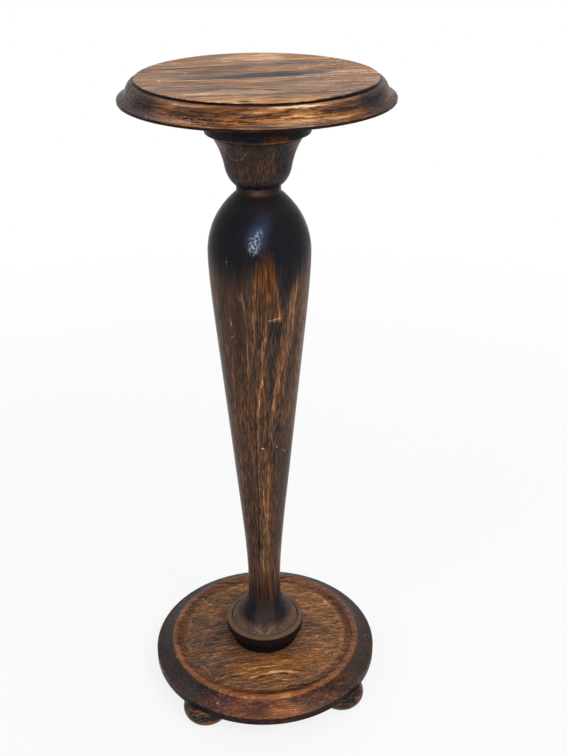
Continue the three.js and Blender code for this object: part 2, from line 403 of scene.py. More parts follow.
def feed(tree, node, *feeds, **links):
    """Links or sets a node's inputs: feeds in their order, the others by name or place.

    A link named _6 goes to the seventh input. A node stands for its first output.
    """
    for name, value in [*enumerate(feeds), *links.items()]:
        if isinstance(name, str):
            name = int(name[1:]) if name[0] == "_" else name.replace("_", " ")
        socket = node.inputs[name]
        if isinstance(value, bpy.types.Node):
            value = value.outputs[0]
        if isinstance(value, bpy.types.NodeSocket):
            tree.links.new(value, socket)
        else:
            socket.default_value = value


def new_material(name):
    """A material, its node tree and its shader."""
    material = bpy.data.materials.new(name)
    material.use_nodes = True
    return material, material.node_tree, material.node_tree.nodes["Principled BSDF"]


def millimetres(tree, turn=0.0):
    """Place on the stand in millimetres, turned about the column."""
    place = add(tree, "TexCoord").outputs["Object"]
    scale = (1 / MM,) * 3
    return add(tree, "Mapping", Vector=place, Scale=scale, Rotation=(0, 0, turn))


def fibres(tree, place, axis, across, along, seed=0.0, detail=2.0, sharp=0.15):
    """Noise from -1 to 1 drawn out along one axis, with the width and length of a fibre.

    The fibres of maple are 0.1 to 0.3 mm wide, too fine to show in the render, where one
    pixel is about 1.6 mm. The finest are drawn 1 to 2 mm wide, as coarse as they show.
    """
    scale = [1 / across] * 3
    scale["XYZ".index(axis)] = 1 / along
    drawn = add(tree, "Mapping", Vector=place, Location=(seed, seed, seed), Scale=scale)
    noise = add(tree, "TexNoise", Vector=drawn, Scale=1.0, Detail=detail, Roughness=0.6)
    return add(tree, "MapRange", "SMOOTHSTEP", noise, 0.5 - sharp, 0.5 + sharp, -1.0, 1.0)


def grain(tree, place, axis, seed, sizes, base=(0.5, 0.5)):
    """Lightness and warmth of fibres of several sizes.

    sizes lists (width, length, lightness, warmth). Returns the tones and each noise.
    """
    light, warmth = base
    noises = []
    for index, (across, along, lighter, warmer) in enumerate(sizes):
        noise = fibres(tree, place, axis, across, along, seed + 3.7 * index)
        light = add(tree, "Math", "MULTIPLY_ADD", noise, lighter, light)
        warmth = add(tree, "Math", "MULTIPLY_ADD", noise, warmer, warmth)
        noises.append(noise)
    return (light, warmth), noises


def figure(tree, tones, along, aside, span, reach, lines, soft=0.45):
    """Draws lines that bend and swell on a flat drawing, and returns the changed tones.

    A line is (lightness, warmth, path), and its path lists (along, aside, width, strength).
    """
    light, warmth = tones
    length, breadth = span[1] - span[0], reach[1] - reach[0]
    along = add(tree, "MapRange", Value=along, From_Min=span[0], From_Max=span[1])
    aside = add(tree, "MapRange", {"clamp": False}, Value=aside, From_Min=reach[0],
                From_Max=reach[1])
    for lighter, warmer, path in lines:
        curves = [[], [], []]
        for place, middle, width, strength in path:
            step = (place - span[0]) / length
            curves[0].append((step, (middle - reach[0]) / breadth))
            curves[1].append((step, width / 2 / breadth))
            curves[2].append((step, strength))
        drawn = add(tree, "RGBCurve", {"curves": curves}, Color=along)
        parts = add(tree, "SeparateColor", Color=drawn).outputs
        off = add(tree, "Math", "ABSOLUTE", add(tree, "Math", "SUBTRACT", aside, parts[0]))
        off = add(tree, "Math", "DIVIDE", off, parts[1])
        mask = add(tree, "MapRange", "SMOOTHSTEP", off, 1 - soft, 1 + soft, parts[2], 0.0)
        light = add(tree, "Math", "MULTIPLY_ADD", mask, lighter, light)
        if warmer:
            warmth = add(tree, "Math", "MULTIPLY_ADD", mask, warmer, warmth)
    return light, warmth


def strokes(tree, total, flat, marks, soft=0.45):
    """Adds long tapering marks to a value, each from one point to another of a flat drawing.

    A mark is (from, to, width, amount), in millimetres.
    """
    for start, end, width, amount in marks:
        start, end = Vector(start), Vector(end)
        run = end - start
        middle = (start + end) / 2
        local = add(tree, "Mapping", "TEXTURE", Vector=flat,
                    Location=(*middle, 0), Rotation=(0, 0, math.atan2(run.y, run.x)),
                    Scale=(run.length / 2, width / 2, 1))
        reach = add(tree, "VectorMath", "LENGTH", local).outputs["Value"]
        mask = add(tree, "MapRange", "SMOOTHSTEP", reach, 1 - soft, 1 + soft, amount, 0.0)
        total = add(tree, "Math", "ADD", total, mask)
    return total


def varnished(name, finish, roughness, specular, relief):
    """Stained maple, sanded, toned and varnished by hand: a soft, uneven satin shine.

    finish gives the sockets for colour, dullness and height. The dull parts are where the
    varnish is worn. Its peel is about 1 mm across, drawn 2.6 mm so that it shows.
    """
    material, tree, shader = new_material(name)
    colour, dullness, height = finish(tree)
    peel = fibres(tree, millimetres(tree), "Z", 2.6, 2.6, 40.0)
    rough = add(tree, "MapRange", "SMOOTHSTEP", dullness, -1.0, 1.0, roughness - 0.06,
                roughness + 0.1)
    raised = add(tree, "Math", "MULTIPLY_ADD", peel, 0.5, height)
    bump = add(tree, "Bump", Height=raised, Strength=1.0, Distance=relief * MM)
    feed(tree, shader, Base_Color=colour, Roughness=rough, Normal=bump,
         Specular_IOR_Level=specular)
    return material


# One stain shows as two runs of colour, from its darkest to its lightest: cool where the
# toner lies on top, warm where it is rubbed through to the wood.
COOL_STAIN = [(0.0, "#121216"), (0.2, "#1F1E22"), (0.4, "#403631"), (0.55, "#5A483C"),
              (0.7, "#7C6656"), (0.85, "#A58D78"), (1.0, "#CFBCA4")]
WARM_STAIN = [(0.0, "#150D0A"), (0.2, "#2B180F"), (0.4, "#532F16"), (0.55, "#7A4A26"),
              (0.7, "#9C6434"), (0.85, "#C48A50"), (1.0, "#E8C292")]
chip_colour = "#CDBFAE"


def stained(tree, tones, flecks=None):
    """Colour of the stain from its tones, with pale chips where flecks rises over zero."""
    light, warmth = tones
    cool = add(tree, "ValToRGB", {"stops": COOL_STAIN}, Fac=light)
    warm = add(tree, "ValToRGB", {"stops": WARM_STAIN}, Fac=light)
    colour = add(tree, "Mix", "RGBA", _0=warmth, _6=cool, _7=warm).outputs[2]
    if flecks is None:
        return colour
    return add(tree, "Mix", "RGBA", _0=flecks, _6=colour, _7=linear(chip_colour)).outputs[2]


def shaded(tree, tones, *amounts):
    """Adds amounts to the lightness alone: darker where they are below zero."""
    light, warmth = tones
    for amount in amounts:
        light = add(tree, "Math", "ADD", light, amount)
    return light, warmth


def covered(tree, tones, share, *under):
    """Tones that go over to others by a share, as under toner that hides the grain."""
    return tuple(add(tree, "Mix", "FLOAT", _0=share, _2=tone, _3=level)
                 for tone, level in zip(tones, under))


def tinted(tree, colour, share, tint):
    """Colour under a thin coat of tinted varnish, by a share."""
    return add(tree, "Mix", {"data_type": "RGBA", "blend_type": "MULTIPLY"}, _0=share,
               _6=colour, _7=linear(tint)).outputs[2]


# The column's figure as seen from its photographed side: up, across, width, strength
COLUMN_LINES = [
    # flame on the shoulder: its fill, its bright left edge, its broad right edge
    (-0.03, 0.7, [(600, 2, 14, 0), (640, 4, 20, 0.2), (662, 5, 22, 0.5), (682, 7, 25, 0.9),
                  (700, 8, 23, 1), (714, 8, 16, 1), (722, 8, 10, 0)]),
    (0.18, 0.3, [(556, -6, 1.1, 0), (572, -6.5, 1.4, 0.7), (600, -8, 1.5, 0.8),
                 (640, -8.5, 1.9, 0.9), (670, -6, 2.2, 1), (692, -5, 2.4, 0.7), (711, -1, 2, 0)]),
    (0.04, 0.4, [(614, 27, 5, 0), (624, 25, 6.5, 1), (640, 21, 6, 1), (658, 18, 8, 0.9),
                 (680, 16, 9, 0.7), (700, 13, 9, 0.4), (716, 11, 6, 0)]),
    (0.13, 0, [(612, 27, 1.3, 0), (622, 26, 1.8, 1), (640, 23, 1.6, 1), (660, 21, 1.6, 0.7),
               (690, 18, 1.4, 0)]),
    (0.14, 0.1, [(670, 9, 1.5, 0), (684, 7, 2, 1), (700, 4, 2, 0.8), (710, 3, 1.5, 0)]),
    # dark wood inside and below it
    (-0.05, 0, [(556, -2, 6, 0), (585, -2, 8, 0.8), (620, 0, 11, 1), (645, 3, 10, 0.6),
                (665, 4, 8, 0)]),
    (0.13, 0.2, [(430, -5, 1.6, 0), (470, -4, 3.4, 0.6), (500, -3, 4.6, 0.9), (525, 0, 5, 1),
                 (560, 2, 5.5, 0.8), (590, 5, 5, 0.9), (612, 8, 4.2, 0.8), (621, 9, 3, 0)]),
    (0.2, 0, [(480, -4, 1.1, 0), (504, -3, 1.6, 1), (530, 1, 1.6, 0.9), (560, 3, 1.3, 0.5),
              (600, 7, 1.4, 0.7), (612, 8, 1, 0)]),
    # dark wedge right of the flame
    (-0.12, -0.4, [(634, 30, 3, 0), (645, 31, 9, 0.9), (665, 33, 19, 1), (690, 37, 28, 0.8),
                   (715, 38, 34, 0.5), (725, 38, 34, 0)]),
    # broad orange band on the right, with pale fibres in it
    (0.11, 0.2, [(410, 10, 2.5, 0), (450, 12, 4, 0.6), (490, 16, 5.5, 0.8), (520, 20, 8, 0.8),
                 (545, 25, 11, 0.9), (570, 30, 12, 1), (600, 36, 11, 0.9), (625, 40, 9, 0.8),
                 (650, 45, 9, 0.8), (675, 50, 8, 0.5), (697, 54, 6, 0)]),
    (0.2, 0, [(560, 38, 1.3, 0), (590, 41, 1.4, 0.9), (620, 43, 1.4, 1), (650, 46, 1.5, 1),
              (670, 48, 1.3, 0)]),
    (0.2, 0, [(600, 34, 1.3, 0), (625, 36, 1.4, 1), (645, 40, 1.4, 1), (660, 43, 1.2, 0)]),
    (0.16, 0, [(500, 22, 1.2, 0), (540, 27, 1.5, 1), (575, 33, 1.5, 1), (605, 37, 1.3, 0)]),
    (0.16, 0.1, [(430, 12, 1, 0), (470, 14, 1.4, 1), (510, 18, 1.4, 1), (530, 21, 1, 0)]),
    # pale V on the left, dark between its arms
    (0.26, 0.1, [(540, -16.5, 1.2, 0), (558, -17, 1.8, 1), (575, -18, 1.6, 1),
                 (600, -18, 1.3, 0.5), (628, -20, 1.6, 0.8), (645, -22, 2.1, 1),
                 (660, -27, 1.7, 0.7), (676, -31, 1.4, 0.5), (686, -32, 1.2, 0)]),
    (0.03, 0.1, [(560, -41, 3.5, 0), (600, -41, 4.5, 0.8), (640, -39, 4.5, 1),
                 (665, -35, 3, 1), (680, -33, 2, 0.7), (688, -32, 1.2, 0)]),
    (-0.05, 0.05, [(540, -29, 8, 0), (590, -28, 10, 1), (640, -29, 9, 1), (665, -31, 5, 0)]),
    # thin pale fibre and a dark one beside it, down the whole taper
    (0.16, 0.05, [(150, -4.5, 1.1, 0), (200, -5, 1.2, 0.8), (350, -5, 1.3, 1),
                  (450, -5.5, 1.3, 1), (560, -6, 1.2, 0.4), (580, -6, 1, 0)]),
    (-0.14, 0, [(140, -6.5, 1.6, 0), (180, -6.8, 1.9, 1), (340, -7, 2, 1), (480, -8, 2, 0.8),
                (560, -8.5, 1.8, 0)]),
    # pale fibres on the left
    (0.2, 0.1, [(346, -29, 1.4, 0), (360, -29.5, 1.9, 1), (390, -31, 1.9, 0.9),
                (406, -32, 1.4, 0.4), (480, -36, 1.5, 0.3), (520, -37, 2, 0.8),
                (560, -37, 1.5, 0.3), (580, -37, 1.2, 0)]),
    (0.12, 0.1, [(400, -18, 1.3, 0), (430, -18, 1.7, 1), (480, -20, 1.6, 0.6),
                 (530, -21, 1.8, 0.9), (550, -21, 1.3, 0)]),
    (0.12, 0, [(340, -14, 1.4, 0), (380, -13, 1.7, 1), (420, -14, 1.5, 0.6), (450, -15, 1.4, 0)]),
    # greener wood on the right, reddish at its edge
    (0.02, -0.15, [(190, 17, 8, 0), (240, 18, 11, 0.8), (300, 21, 13, 1), (400, 27, 17, 1),
                   (480, 32, 18, 0.9), (540, 38, 12, 0.5), (570, 42, 8, 0)]),
    (-0.05, 0, [(400, 22, 4, 0), (440, 23, 5, 1), (490, 25, 5, 0.8), (520, 28, 4, 0)]),
    (0.04, 0.15, [(420, 43, 6, 0), (470, 46, 8, 1), (550, 51, 9, 1), (610, 55, 9, 0.7),
                  (640, 57, 8, 0)]),
    # brown core of the neck, its pale fibres and the orange spot at its foot
    (0.09, 0.15, [(150, 4, 9, 0), (190, 3, 11, 0.8), (300, 3, 12, 1), (400, 6, 13, 0.6),
                  (430, 6, 13, 0)]),
    (0.16, 0.1, [(196, -1, 1.6, 0), (212, -1, 2, 1), (250, 0, 1.6, 0.7), (290, 3, 1.8, 0.8),
                 (330, 1, 2, 1), (360, 1, 1.5, 0)]),
    (0.12, 0.1, [(240, 5, 1.3, 0), (290, 6, 1.5, 1), (340, 8, 1.6, 1), (410, 9, 1.5, 0)]),
    (0.1, 0.6, [(134, 11, 3, 0), (147, 10, 5, 0.9), (160, 9, 5, 1), (180, 8, 4, 0.4),
                (200, 8, 3, 0)]),
    (-0.04, 0.1, [(150, -16, 14, 0), (200, -17, 16, 0.8), (330, -19, 18, 0.8), (380, -22, 14, 0)]),
    (0.16, 0.2, [(196, 23, 2, 0), (206, 23.5, 2.6, 1), (226, 23, 2.2, 0.9), (244, 23, 2, 0)]),
    # cone: painted dark reflections, bluish-black, on both sides; brown over its foot
    (-0.16, -0.4, [(102, -20, 14, 0), (112, -23, 17, 1), (128, -20, 13, 1), (142, -18, 8, 0)]),
    (-0.13, -0.4, [(102, 22, 12, 0), (112, 24, 16, 1), (128, 20, 12, 1), (142, 18, 8, 0)]),
]
# Marks with a clean outline: the dark patch below the flame
COLUMN_PATCH = [
    (-0.07, -0.4, [(460, 8, 4, 0), (500, 10, 7, 0.7), (540, 12, 9, 0.8), (570, 15, 12, 0.8),
                   (600, 18, 16, 0.9), (611, 18.5, 18, 1), (617.2, 19, 18, 1),
                   (618.4, 19, 18, 0)]),
    (-0.12, -0.1, [(596, 18, 12, 0), (608, 18.5, 15, 1), (614, 19, 16, 1), (618.4, 19, 16, 0)]),
]
# Marks from one point to another: pale and dark marks of the wood, with painted highlights and
# reflections among them
COLUMN_MARKS_AND_PAINTED_LIGHT = [
    ((7, 620.8), (27, 622.8), 2.6, 0.26),
    ((-38.5, 618), (-37.5, 608), 1.8, 0.24),
    ((-41.5, 704), (-41, 690), 2.2, 0.16),
    ((-38.5, 590), (-34.5, 596), 1.8, 0.3),
    ((1, 532), (2.5, 524), 2.2, 0.2),
    ((32.5, 408), (36.5, 400), 1.8, -0.16),
    ((-16, 101), (-1, 95), 2.4, 0.1),  # painted reflection on the cone's foot: a pale V, dark inside
    ((16, 104), (1, 95), 2.4, 0.12),
    ((0, 110), (0, 97), 10, -0.1),
    ((-9, 777), (4, 777), 4.4, 0.13),  # painted highlight on the neck ring
]
# Where the black of the shoulder ends: up, across, width, strength; the amount is how many
# millimetres higher that place counts
TONER_EDGE = [
    (-20, 0, [(650, 4, 24, 0), (670, 6, 25, 1), (700, 8, 23, 1), (722, 8, 13, 1),
              (745, 8, 13, 0)]),
    (10, 0, [(640, -27, 20, 0), (655, -29, 28, 1), (690, -29, 32, 1), (712, -28, 30, 0)]),
    (12, 0, [(634, 30, 3, 0), (645, 31, 9, 0.9), (665, 33, 19, 1), (690, 37, 28, 0.8),
             (715, 38, 34, 0.5), (725, 38, 34, 0)]),
]
# Painted highlight on the shoulder: its pale core, and a faint blue painted reflection round it
SHOULDER_HIGHLIGHT = [((-7, 715), (-3, 735), 13, 1.0), ((-2, 732), (4, 742), 8, 0.6)]
SHOULDER_REFLECTION_HAZE = [((-8, 716), (0, 740), 20, 0.16), ((-4, 736), (12, 754), 20, 0.07)]
# Where toner lies over the grain of the taper: up, across, width, strength; the amount is the
# share of the grain that it hides
COLUMN_VEIL = [
    (0.5, 0, [(540, -30, 16, 0), (570, -30, 22, 0.6), (620, -30, 30, 1), (660, -32, 38, 1),
              (700, -34, 44, 1), (720, -34, 44, 0)]),
    (0.35, 0, [(116, 0, 40, 0), (126, 0, 50, 1), (170, 0, 50, 1), (196, 0, 50, 0)]),
    (0.55, 0, [(180, 20, 16, 0), (220, 22, 20, 0.8), (300, 26, 22, 1), (380, 30, 22, 1),
               (440, 33, 18, 0.6), (480, 36, 14, 0)]),
]
COLUMN_FLECKS = [
    ((-1.6, 420.4), (2.4, 420.4), 2.2, 0.9),
    ((19, 422), (21, 418), 1.4, 0.5),
    ((27.5, 413), (32, 406), 1.3, 0.35),
    ((-37.5, 614), (-37.5, 611), 1.5, 0.35),
    ((-41.5, 699), (-41.5, 697), 1.3, 0.3),
]
# Changes of lightness by height: where each begins, where it is whole, and its amount
COLUMN_BANDS = [
    (740, 762, 0.07),  # under the neck ring
    (112, 101, 0.2),  # foot of the cone
    (disc_top + 2.8, disc_top + 1.8, -0.12),  # painted shade in the crease over the disc
    (disc_foot - 0.2, disc_foot - 2.6, -0.06),  # painted shade under the disc's side
]
COLUMN_DRAWING = (50, 850), (-75, 75)  # from where to where, up and across


def column_stain(tree):
    """Toner at both ends, worn and flamed stain between, over fibres along the column; painted
    highlights and reflections on the shoulder, neck ring, disc and cone, and painted shade round
    the disc.
    """
    place = millimetres(tree, front_turn)
    axes = add(tree, "SeparateXYZ", Vector=place).outputs
    across, back, up = axes[0], axes[1], axes[2]
    # each half has fibres of its own, taken from 60 mm further on in the noise
    aside = add(tree, "SeparateXYZ", Vector=millimetres(tree, -column_seam)).outputs["X"]
    half = add(tree, "MapRange", "SMOOTHSTEP", aside, -0.02, 0.02, 0.0, 60.0)
    own = add(tree, "VectorMath", "ADD", place, add(tree, "CombineXYZ", X=half))
    tones, noises = grain(tree, own, "Z", 1.0, [
        (1.4, 55, 0.14, 0.0), (3.0, 110, 0.045, 0.1), (8, 150, 0.025, 0.12),
        (18, 90, 0.02, 0.1)], (0.46, 0.31))
    fine, streak, band = noises[:3]
    torn_across = add(tree, "Math", "MULTIPLY_ADD", band, 0.7, across)
    torn_across = add(tree, "Math", "MULTIPLY_ADD", fine, 0.35, torn_across)
    torn_up = add(tree, "Math", "MULTIPLY_ADD", streak, 7.0, up)
    cone = add(tree, "MapRange", "SMOOTHSTEP", torn_up, 150, 116, 0.0, 0.65)
    tones = covered(tree, tones, cone, 0.53, 0.0)
    disc = add(tree, "MapRange", "SMOOTHSTEP", up, disc_top + 0.4, disc_top - 0.6, 0.0, 0.95)
    tones = covered(tree, tones, disc, 0.23, 0.35)
    veil = figure(tree, (0.0, 0.0), up, torn_across, *COLUMN_DRAWING, COLUMN_VEIL, 0.8)[0]
    tones = covered(tree, tones, veil, 0.41, 0.18)
    tones = figure(tree, tones, torn_up, torn_across, *COLUMN_DRAWING, COLUMN_LINES)
    frayed = add(tree, "Math", "MULTIPLY_ADD", fine, 0.3, across)
    tones = figure(tree, tones, up, frayed, *COLUMN_DRAWING, COLUMN_PATCH, 0.2)
    flat = add(tree, "CombineXYZ", X=across, Y=up)
    out = add(tree, "CombineXYZ", X=across, Y=back)
    radius = add(tree, "VectorMath", "LENGTH", out).outputs["Value"]
    off_middle = add(tree, "Math", "ABSOLUTE", across)
    front = add(tree, "MapRange", "SMOOTHSTEP", off_middle, 3, 20, 1.0, 0.0)
    # Painted highlight: the neck ring is lighter and redder across its front, fading to its sides
    ring = add(tree, "MapRange", "SMOOTHSTEP", up, ring_foot - 0.1, ring_foot + 0.9, 0.0, 0.2)
    ring = add(tree, "Math", "MULTIPLY", ring, front)
    at_back = add(tree, "MapRange", "SMOOTHSTEP", back, -12, 4, 0.0, 1.0)
    # Painted shade: a dark line at the back, where the cone meets the disc
    off_cone = add(tree, "Math", "ADD", -0.1 - cone_foot_radius, radius)
    off_cone = add(tree, "Math", "ABSOLUTE", off_cone)
    corner = add(tree, "MapRange", "SMOOTHSTEP", off_cone, 1.6, 0.6, 0.0, -0.4)
    over_corner = add(tree, "MapRange", "SMOOTHSTEP", up, 96, 94, 0.0, 1.0)
    crease = add(tree, "Math", "MULTIPLY", corner, over_corner)
    crease = add(tree, "Math", "MULTIPLY", crease, at_back)
    torn_further = add(tree, "Math", "MULTIPLY_ADD", streak, 9.0, up)
    edge = figure(tree, (torn_further, 0.0), up, torn_across, *COLUMN_DRAWING, TONER_EDGE,
                  0.7)[0]
    edge = add(tree, "MapRange", "SMOOTHSTEP", edge, 656, 716, 0.0, 0.95)
    tones = covered(tree, tones, edge, 0.16, 0.0)
    off_rim = add(tree, "Math", "ABSOLUTE", add(tree, "Math", "ADD", -disc_top - 0.6, up))
    tones = shaded(
        tree, tones, ring, crease, strokes(tree, 0.0, flat, COLUMN_MARKS_AND_PAINTED_LIGHT),
        add(tree, "MapRange", "SMOOTHSTEP", torn_up, 190, 150, 0.0, -0.13),
        # painted highlight: a lighter line round the disc's rounded top edge
        add(tree, "MapRange", "SMOOTHSTEP", off_rim, 1.2, 0.5, 0.0, 0.16),
        *(add(tree, "MapRange", "SMOOTHSTEP", up, start, end, 0.0, amount)
          for start, end, amount in COLUMN_BANDS))
    light, warmth = tones
    warmth = add(tree, "Math", "MULTIPLY_ADD", ring, 1.6, warmth)
    colour = stained(tree, (light, warmth), strokes(tree, 0.0, flat, COLUMN_FLECKS, 0.2))
    # Noise drawn 2 to 3 mm apart mottles the painted highlight on the shoulder, and also roughens
    # the relief there
    highlight_mottle = fibres(tree, place, "Z", 2.2, 3.0, 30.0)
    ragged = add(tree, "CombineXYZ", X=add(tree, "Math", "MULTIPLY_ADD", highlight_mottle, 1.6, across),
                 Y=add(tree, "Math", "MULTIPLY_ADD", highlight_mottle, 2.4, up))
    # painted reflection: a faint blue haze round the shoulder's highlight
    reflection_haze = strokes(tree, 0.0, ragged, SHOULDER_REFLECTION_HAZE, 0.8)
    colour = add(tree, "Mix", "RGBA", _0=reflection_haze, _6=colour, _7=linear("#7D92C4")).outputs[2]
    # painted highlight: the pale, mottled core on the shoulder
    core = strokes(tree, 0.0, ragged, SHOULDER_HIGHLIGHT, 0.6)
    pale = add(tree, "MapRange", "SMOOTHSTEP", highlight_mottle, 0.0, 1.0, 0.02, 0.8)
    pale = add(tree, "Math", "MULTIPLY", core, pale)
    colour = add(tree, "Mix", "RGBA", _0=pale, _6=colour, _7=linear("#B4BCC6")).outputs[2]
    highlight_relief = add(tree, "Math", "MULTIPLY", core, highlight_mottle)
    column_relief = add(tree, "Math", "MULTIPLY_ADD", highlight_relief, 2.0, fine)
    # thick toner fills the fibres on the foot disc
    bare = add(tree, "MapRange", "SMOOTHSTEP", up, disc_top + 0.4, disc_top - 0.6, 1.0, 0.15)
    return colour, band, add(tree, "Math", "MULTIPLY", column_relief, bare)


def plan(tree):
    """Place seen from above: the vector, across, back, up, the flat vector, the radius,
    and the turn from the front in degrees."""
    place = millimetres(tree)
    axes = add(tree, "SeparateXYZ", Vector=place).outputs
    across, back, up = axes[0], axes[1], axes[2]
    flat = add(tree, "CombineXYZ", X=across, Y=back)
    radius = add(tree, "VectorMath", "LENGTH", flat).outputs["Value"]
    turn = add(tree, "Math", "ARCTAN2", across, add(tree, "Math", "MULTIPLY", back, -1.0))
    degrees = add(tree, "Math", "MULTIPLY", turn, 180 / math.pi)
    return place, across, back, up, flat, radius, degrees


def around(tree, radius, up):
    """Place on the top's moulding: the way round it, the radius and the height.

    The way round runs from one side to the other, the same in front and behind, so the
    grain has no seam but a mirror line at each side.
    """
    aside = add(tree, "SeparateXYZ", Vector=millimetres(tree, math.radians(-10))).outputs
    turn = add(tree, "Math", "ABSOLUTE", add(tree, "Math", "ARCTAN2", aside[1], aside[0]))
    way = add(tree, "Math", "MULTIPLY", turn, top_mould_radius)
    return add(tree, "CombineXYZ", X=way, Y=radius, Z=up)


# The top's figure from above: across, back, width, strength
TOP_LINES = [
    # dark mineral streak and the darker line over its right end
    (-0.58, -0.6, [(-105, -6, 4, 0), (-80, -8, 8, 0.4), (-50, -6, 14, 0.6), (-20, -2, 22, 0.9),
                   (10, 2, 27, 1), (40, 3, 26, 1), (60, 6, 17, 0.9), (78, 9, 10, 0.6),
                   (95, 14, 5, 0)]),
    (-0.12, 0.1, [(16, 12, 3, 0), (40, 15, 6, 0.7), (60, 17, 8, 0.8), (80, 24, 8, 0.8),
                  (95, 32, 6, 0.4), (108, 36, 4, 0)]),
    (-0.32, 0.1, [(-145, 48, 5, 0), (-100, 54, 7, 0.6), (-60, 56, 8, 0.8), (-20, 58, 9, 0.9),
                  (20, 58, 8, 0.7), (60, 62, 9, 0.9), (80, 60, 7, 0.4), (92, 58, 5, 0)]),
    # greyer wood
    (-0.18, -0.15, [(-115, 20, 20, 0), (-80, 24, 34, 0.6), (-50, 30, 40, 0.9),
                    (-20, 36, 36, 0.9), (-5, 38, 24, 0.3), (6, 38, 16, 0)]),
    (-0.12, 0.2, [(-120, -26, 12, 0), (-80, -34, 22, 0.8), (-40, -42, 24, 0.9),
                  (0, -48, 24, 0.9), (40, -46, 20, 0.7), (70, -40, 16, 0.3), (92, -36, 10, 0)]),
    (-0.04, 0.1, [(-95, 70, 14, 0), (-40, 72, 20, 0.8), (20, 74, 22, 0.9), (60, 74, 16, 0.6),
                  (82, 72, 10, 0)]),
    (-0.12, 0.1, [(-120, 92, 10, 0), (-80, 112, 14, 0.8), (-40, 121, 12, 0.5),
                  (-16, 126, 10, 0)]),
    (0.17, 0.4, [(-50, 100, 16, 0), (-20, 108, 30, 0.8), (20, 112, 36, 1), (50, 112, 30, 0)]),
    (-0.02, -0.1, [(-150, 0, 60, 0), (-138, 0, 110, 1), (-110, 0, 110, 1), (-90, 0, 80, 0)]),
    # orange wood
    (0.02, 0.35, [(-6, 36, 12, 0), (10, 36, 20, 0.8), (30, 36, 26, 1), (55, 34, 22, 0.8),
                  (76, 30, 12, 0)]),
    (0.03, 0.4, [(-20, 135, 10, 0), (20, 120, 30, 0.7), (50, 112, 44, 1), (80, 100, 40, 0.9),
                 (100, 84, 24, 0.4), (116, 72, 10, 0)]),
    (0.06, 0.45, [(-114, -104, 8, 0), (-80, -120, 16, 0.8), (-40, -134, 18, 1),
                  (0, -138, 18, 1), (40, -134, 16, 0.8), (66, -124, 10, 0.2), (90, -114, 6, 0)]),
    (0.06, 0.4, [(96, 6, 20, 0), (110, 4, 40, 0.8), (124, 0, 50, 1), (140, 0, 50, 1)]),
    # curly wood at the right, and painted shade along the field's front-right edge, beside the
    # quirk
    (-0.03, 0.3, [(74, -26, 20, 0), (88, -34, 50, 0.9), (100, -38, 60, 0.9),
                  (112, -40, 44, 0.3), (124, -40, 20, 0)]),
    (-0.55, -0.2, [(40, -141, 3, 0), (60, -133, 5, 0.7), (90, -114, 6, 1), (112, -94, 5, 0.8),
                   (128, -72, 4, 0)]),
    # pale and dark streaks in front
    (-0.2, 0, [(-110, -72, 5, 0), (-80, -76, 6, 0.9), (-40, -70, 6, 1), (-10, -76, 6, 0.6),
               (10, -80, 5, 0)]),
    (0.16, 0.1, [(-100, -90, 12, 0), (-60, -92, 18, 0.9), (-10, -92, 18, 1), (24, -94, 12, 0)]),
    (-0.2, 0, [(-90, -100, 4, 0), (-50, -102, 6, 1), (0, -104, 6, 0.9), (50, -104, 5, 0.8),
               (80, -100, 4, 0)]),
]
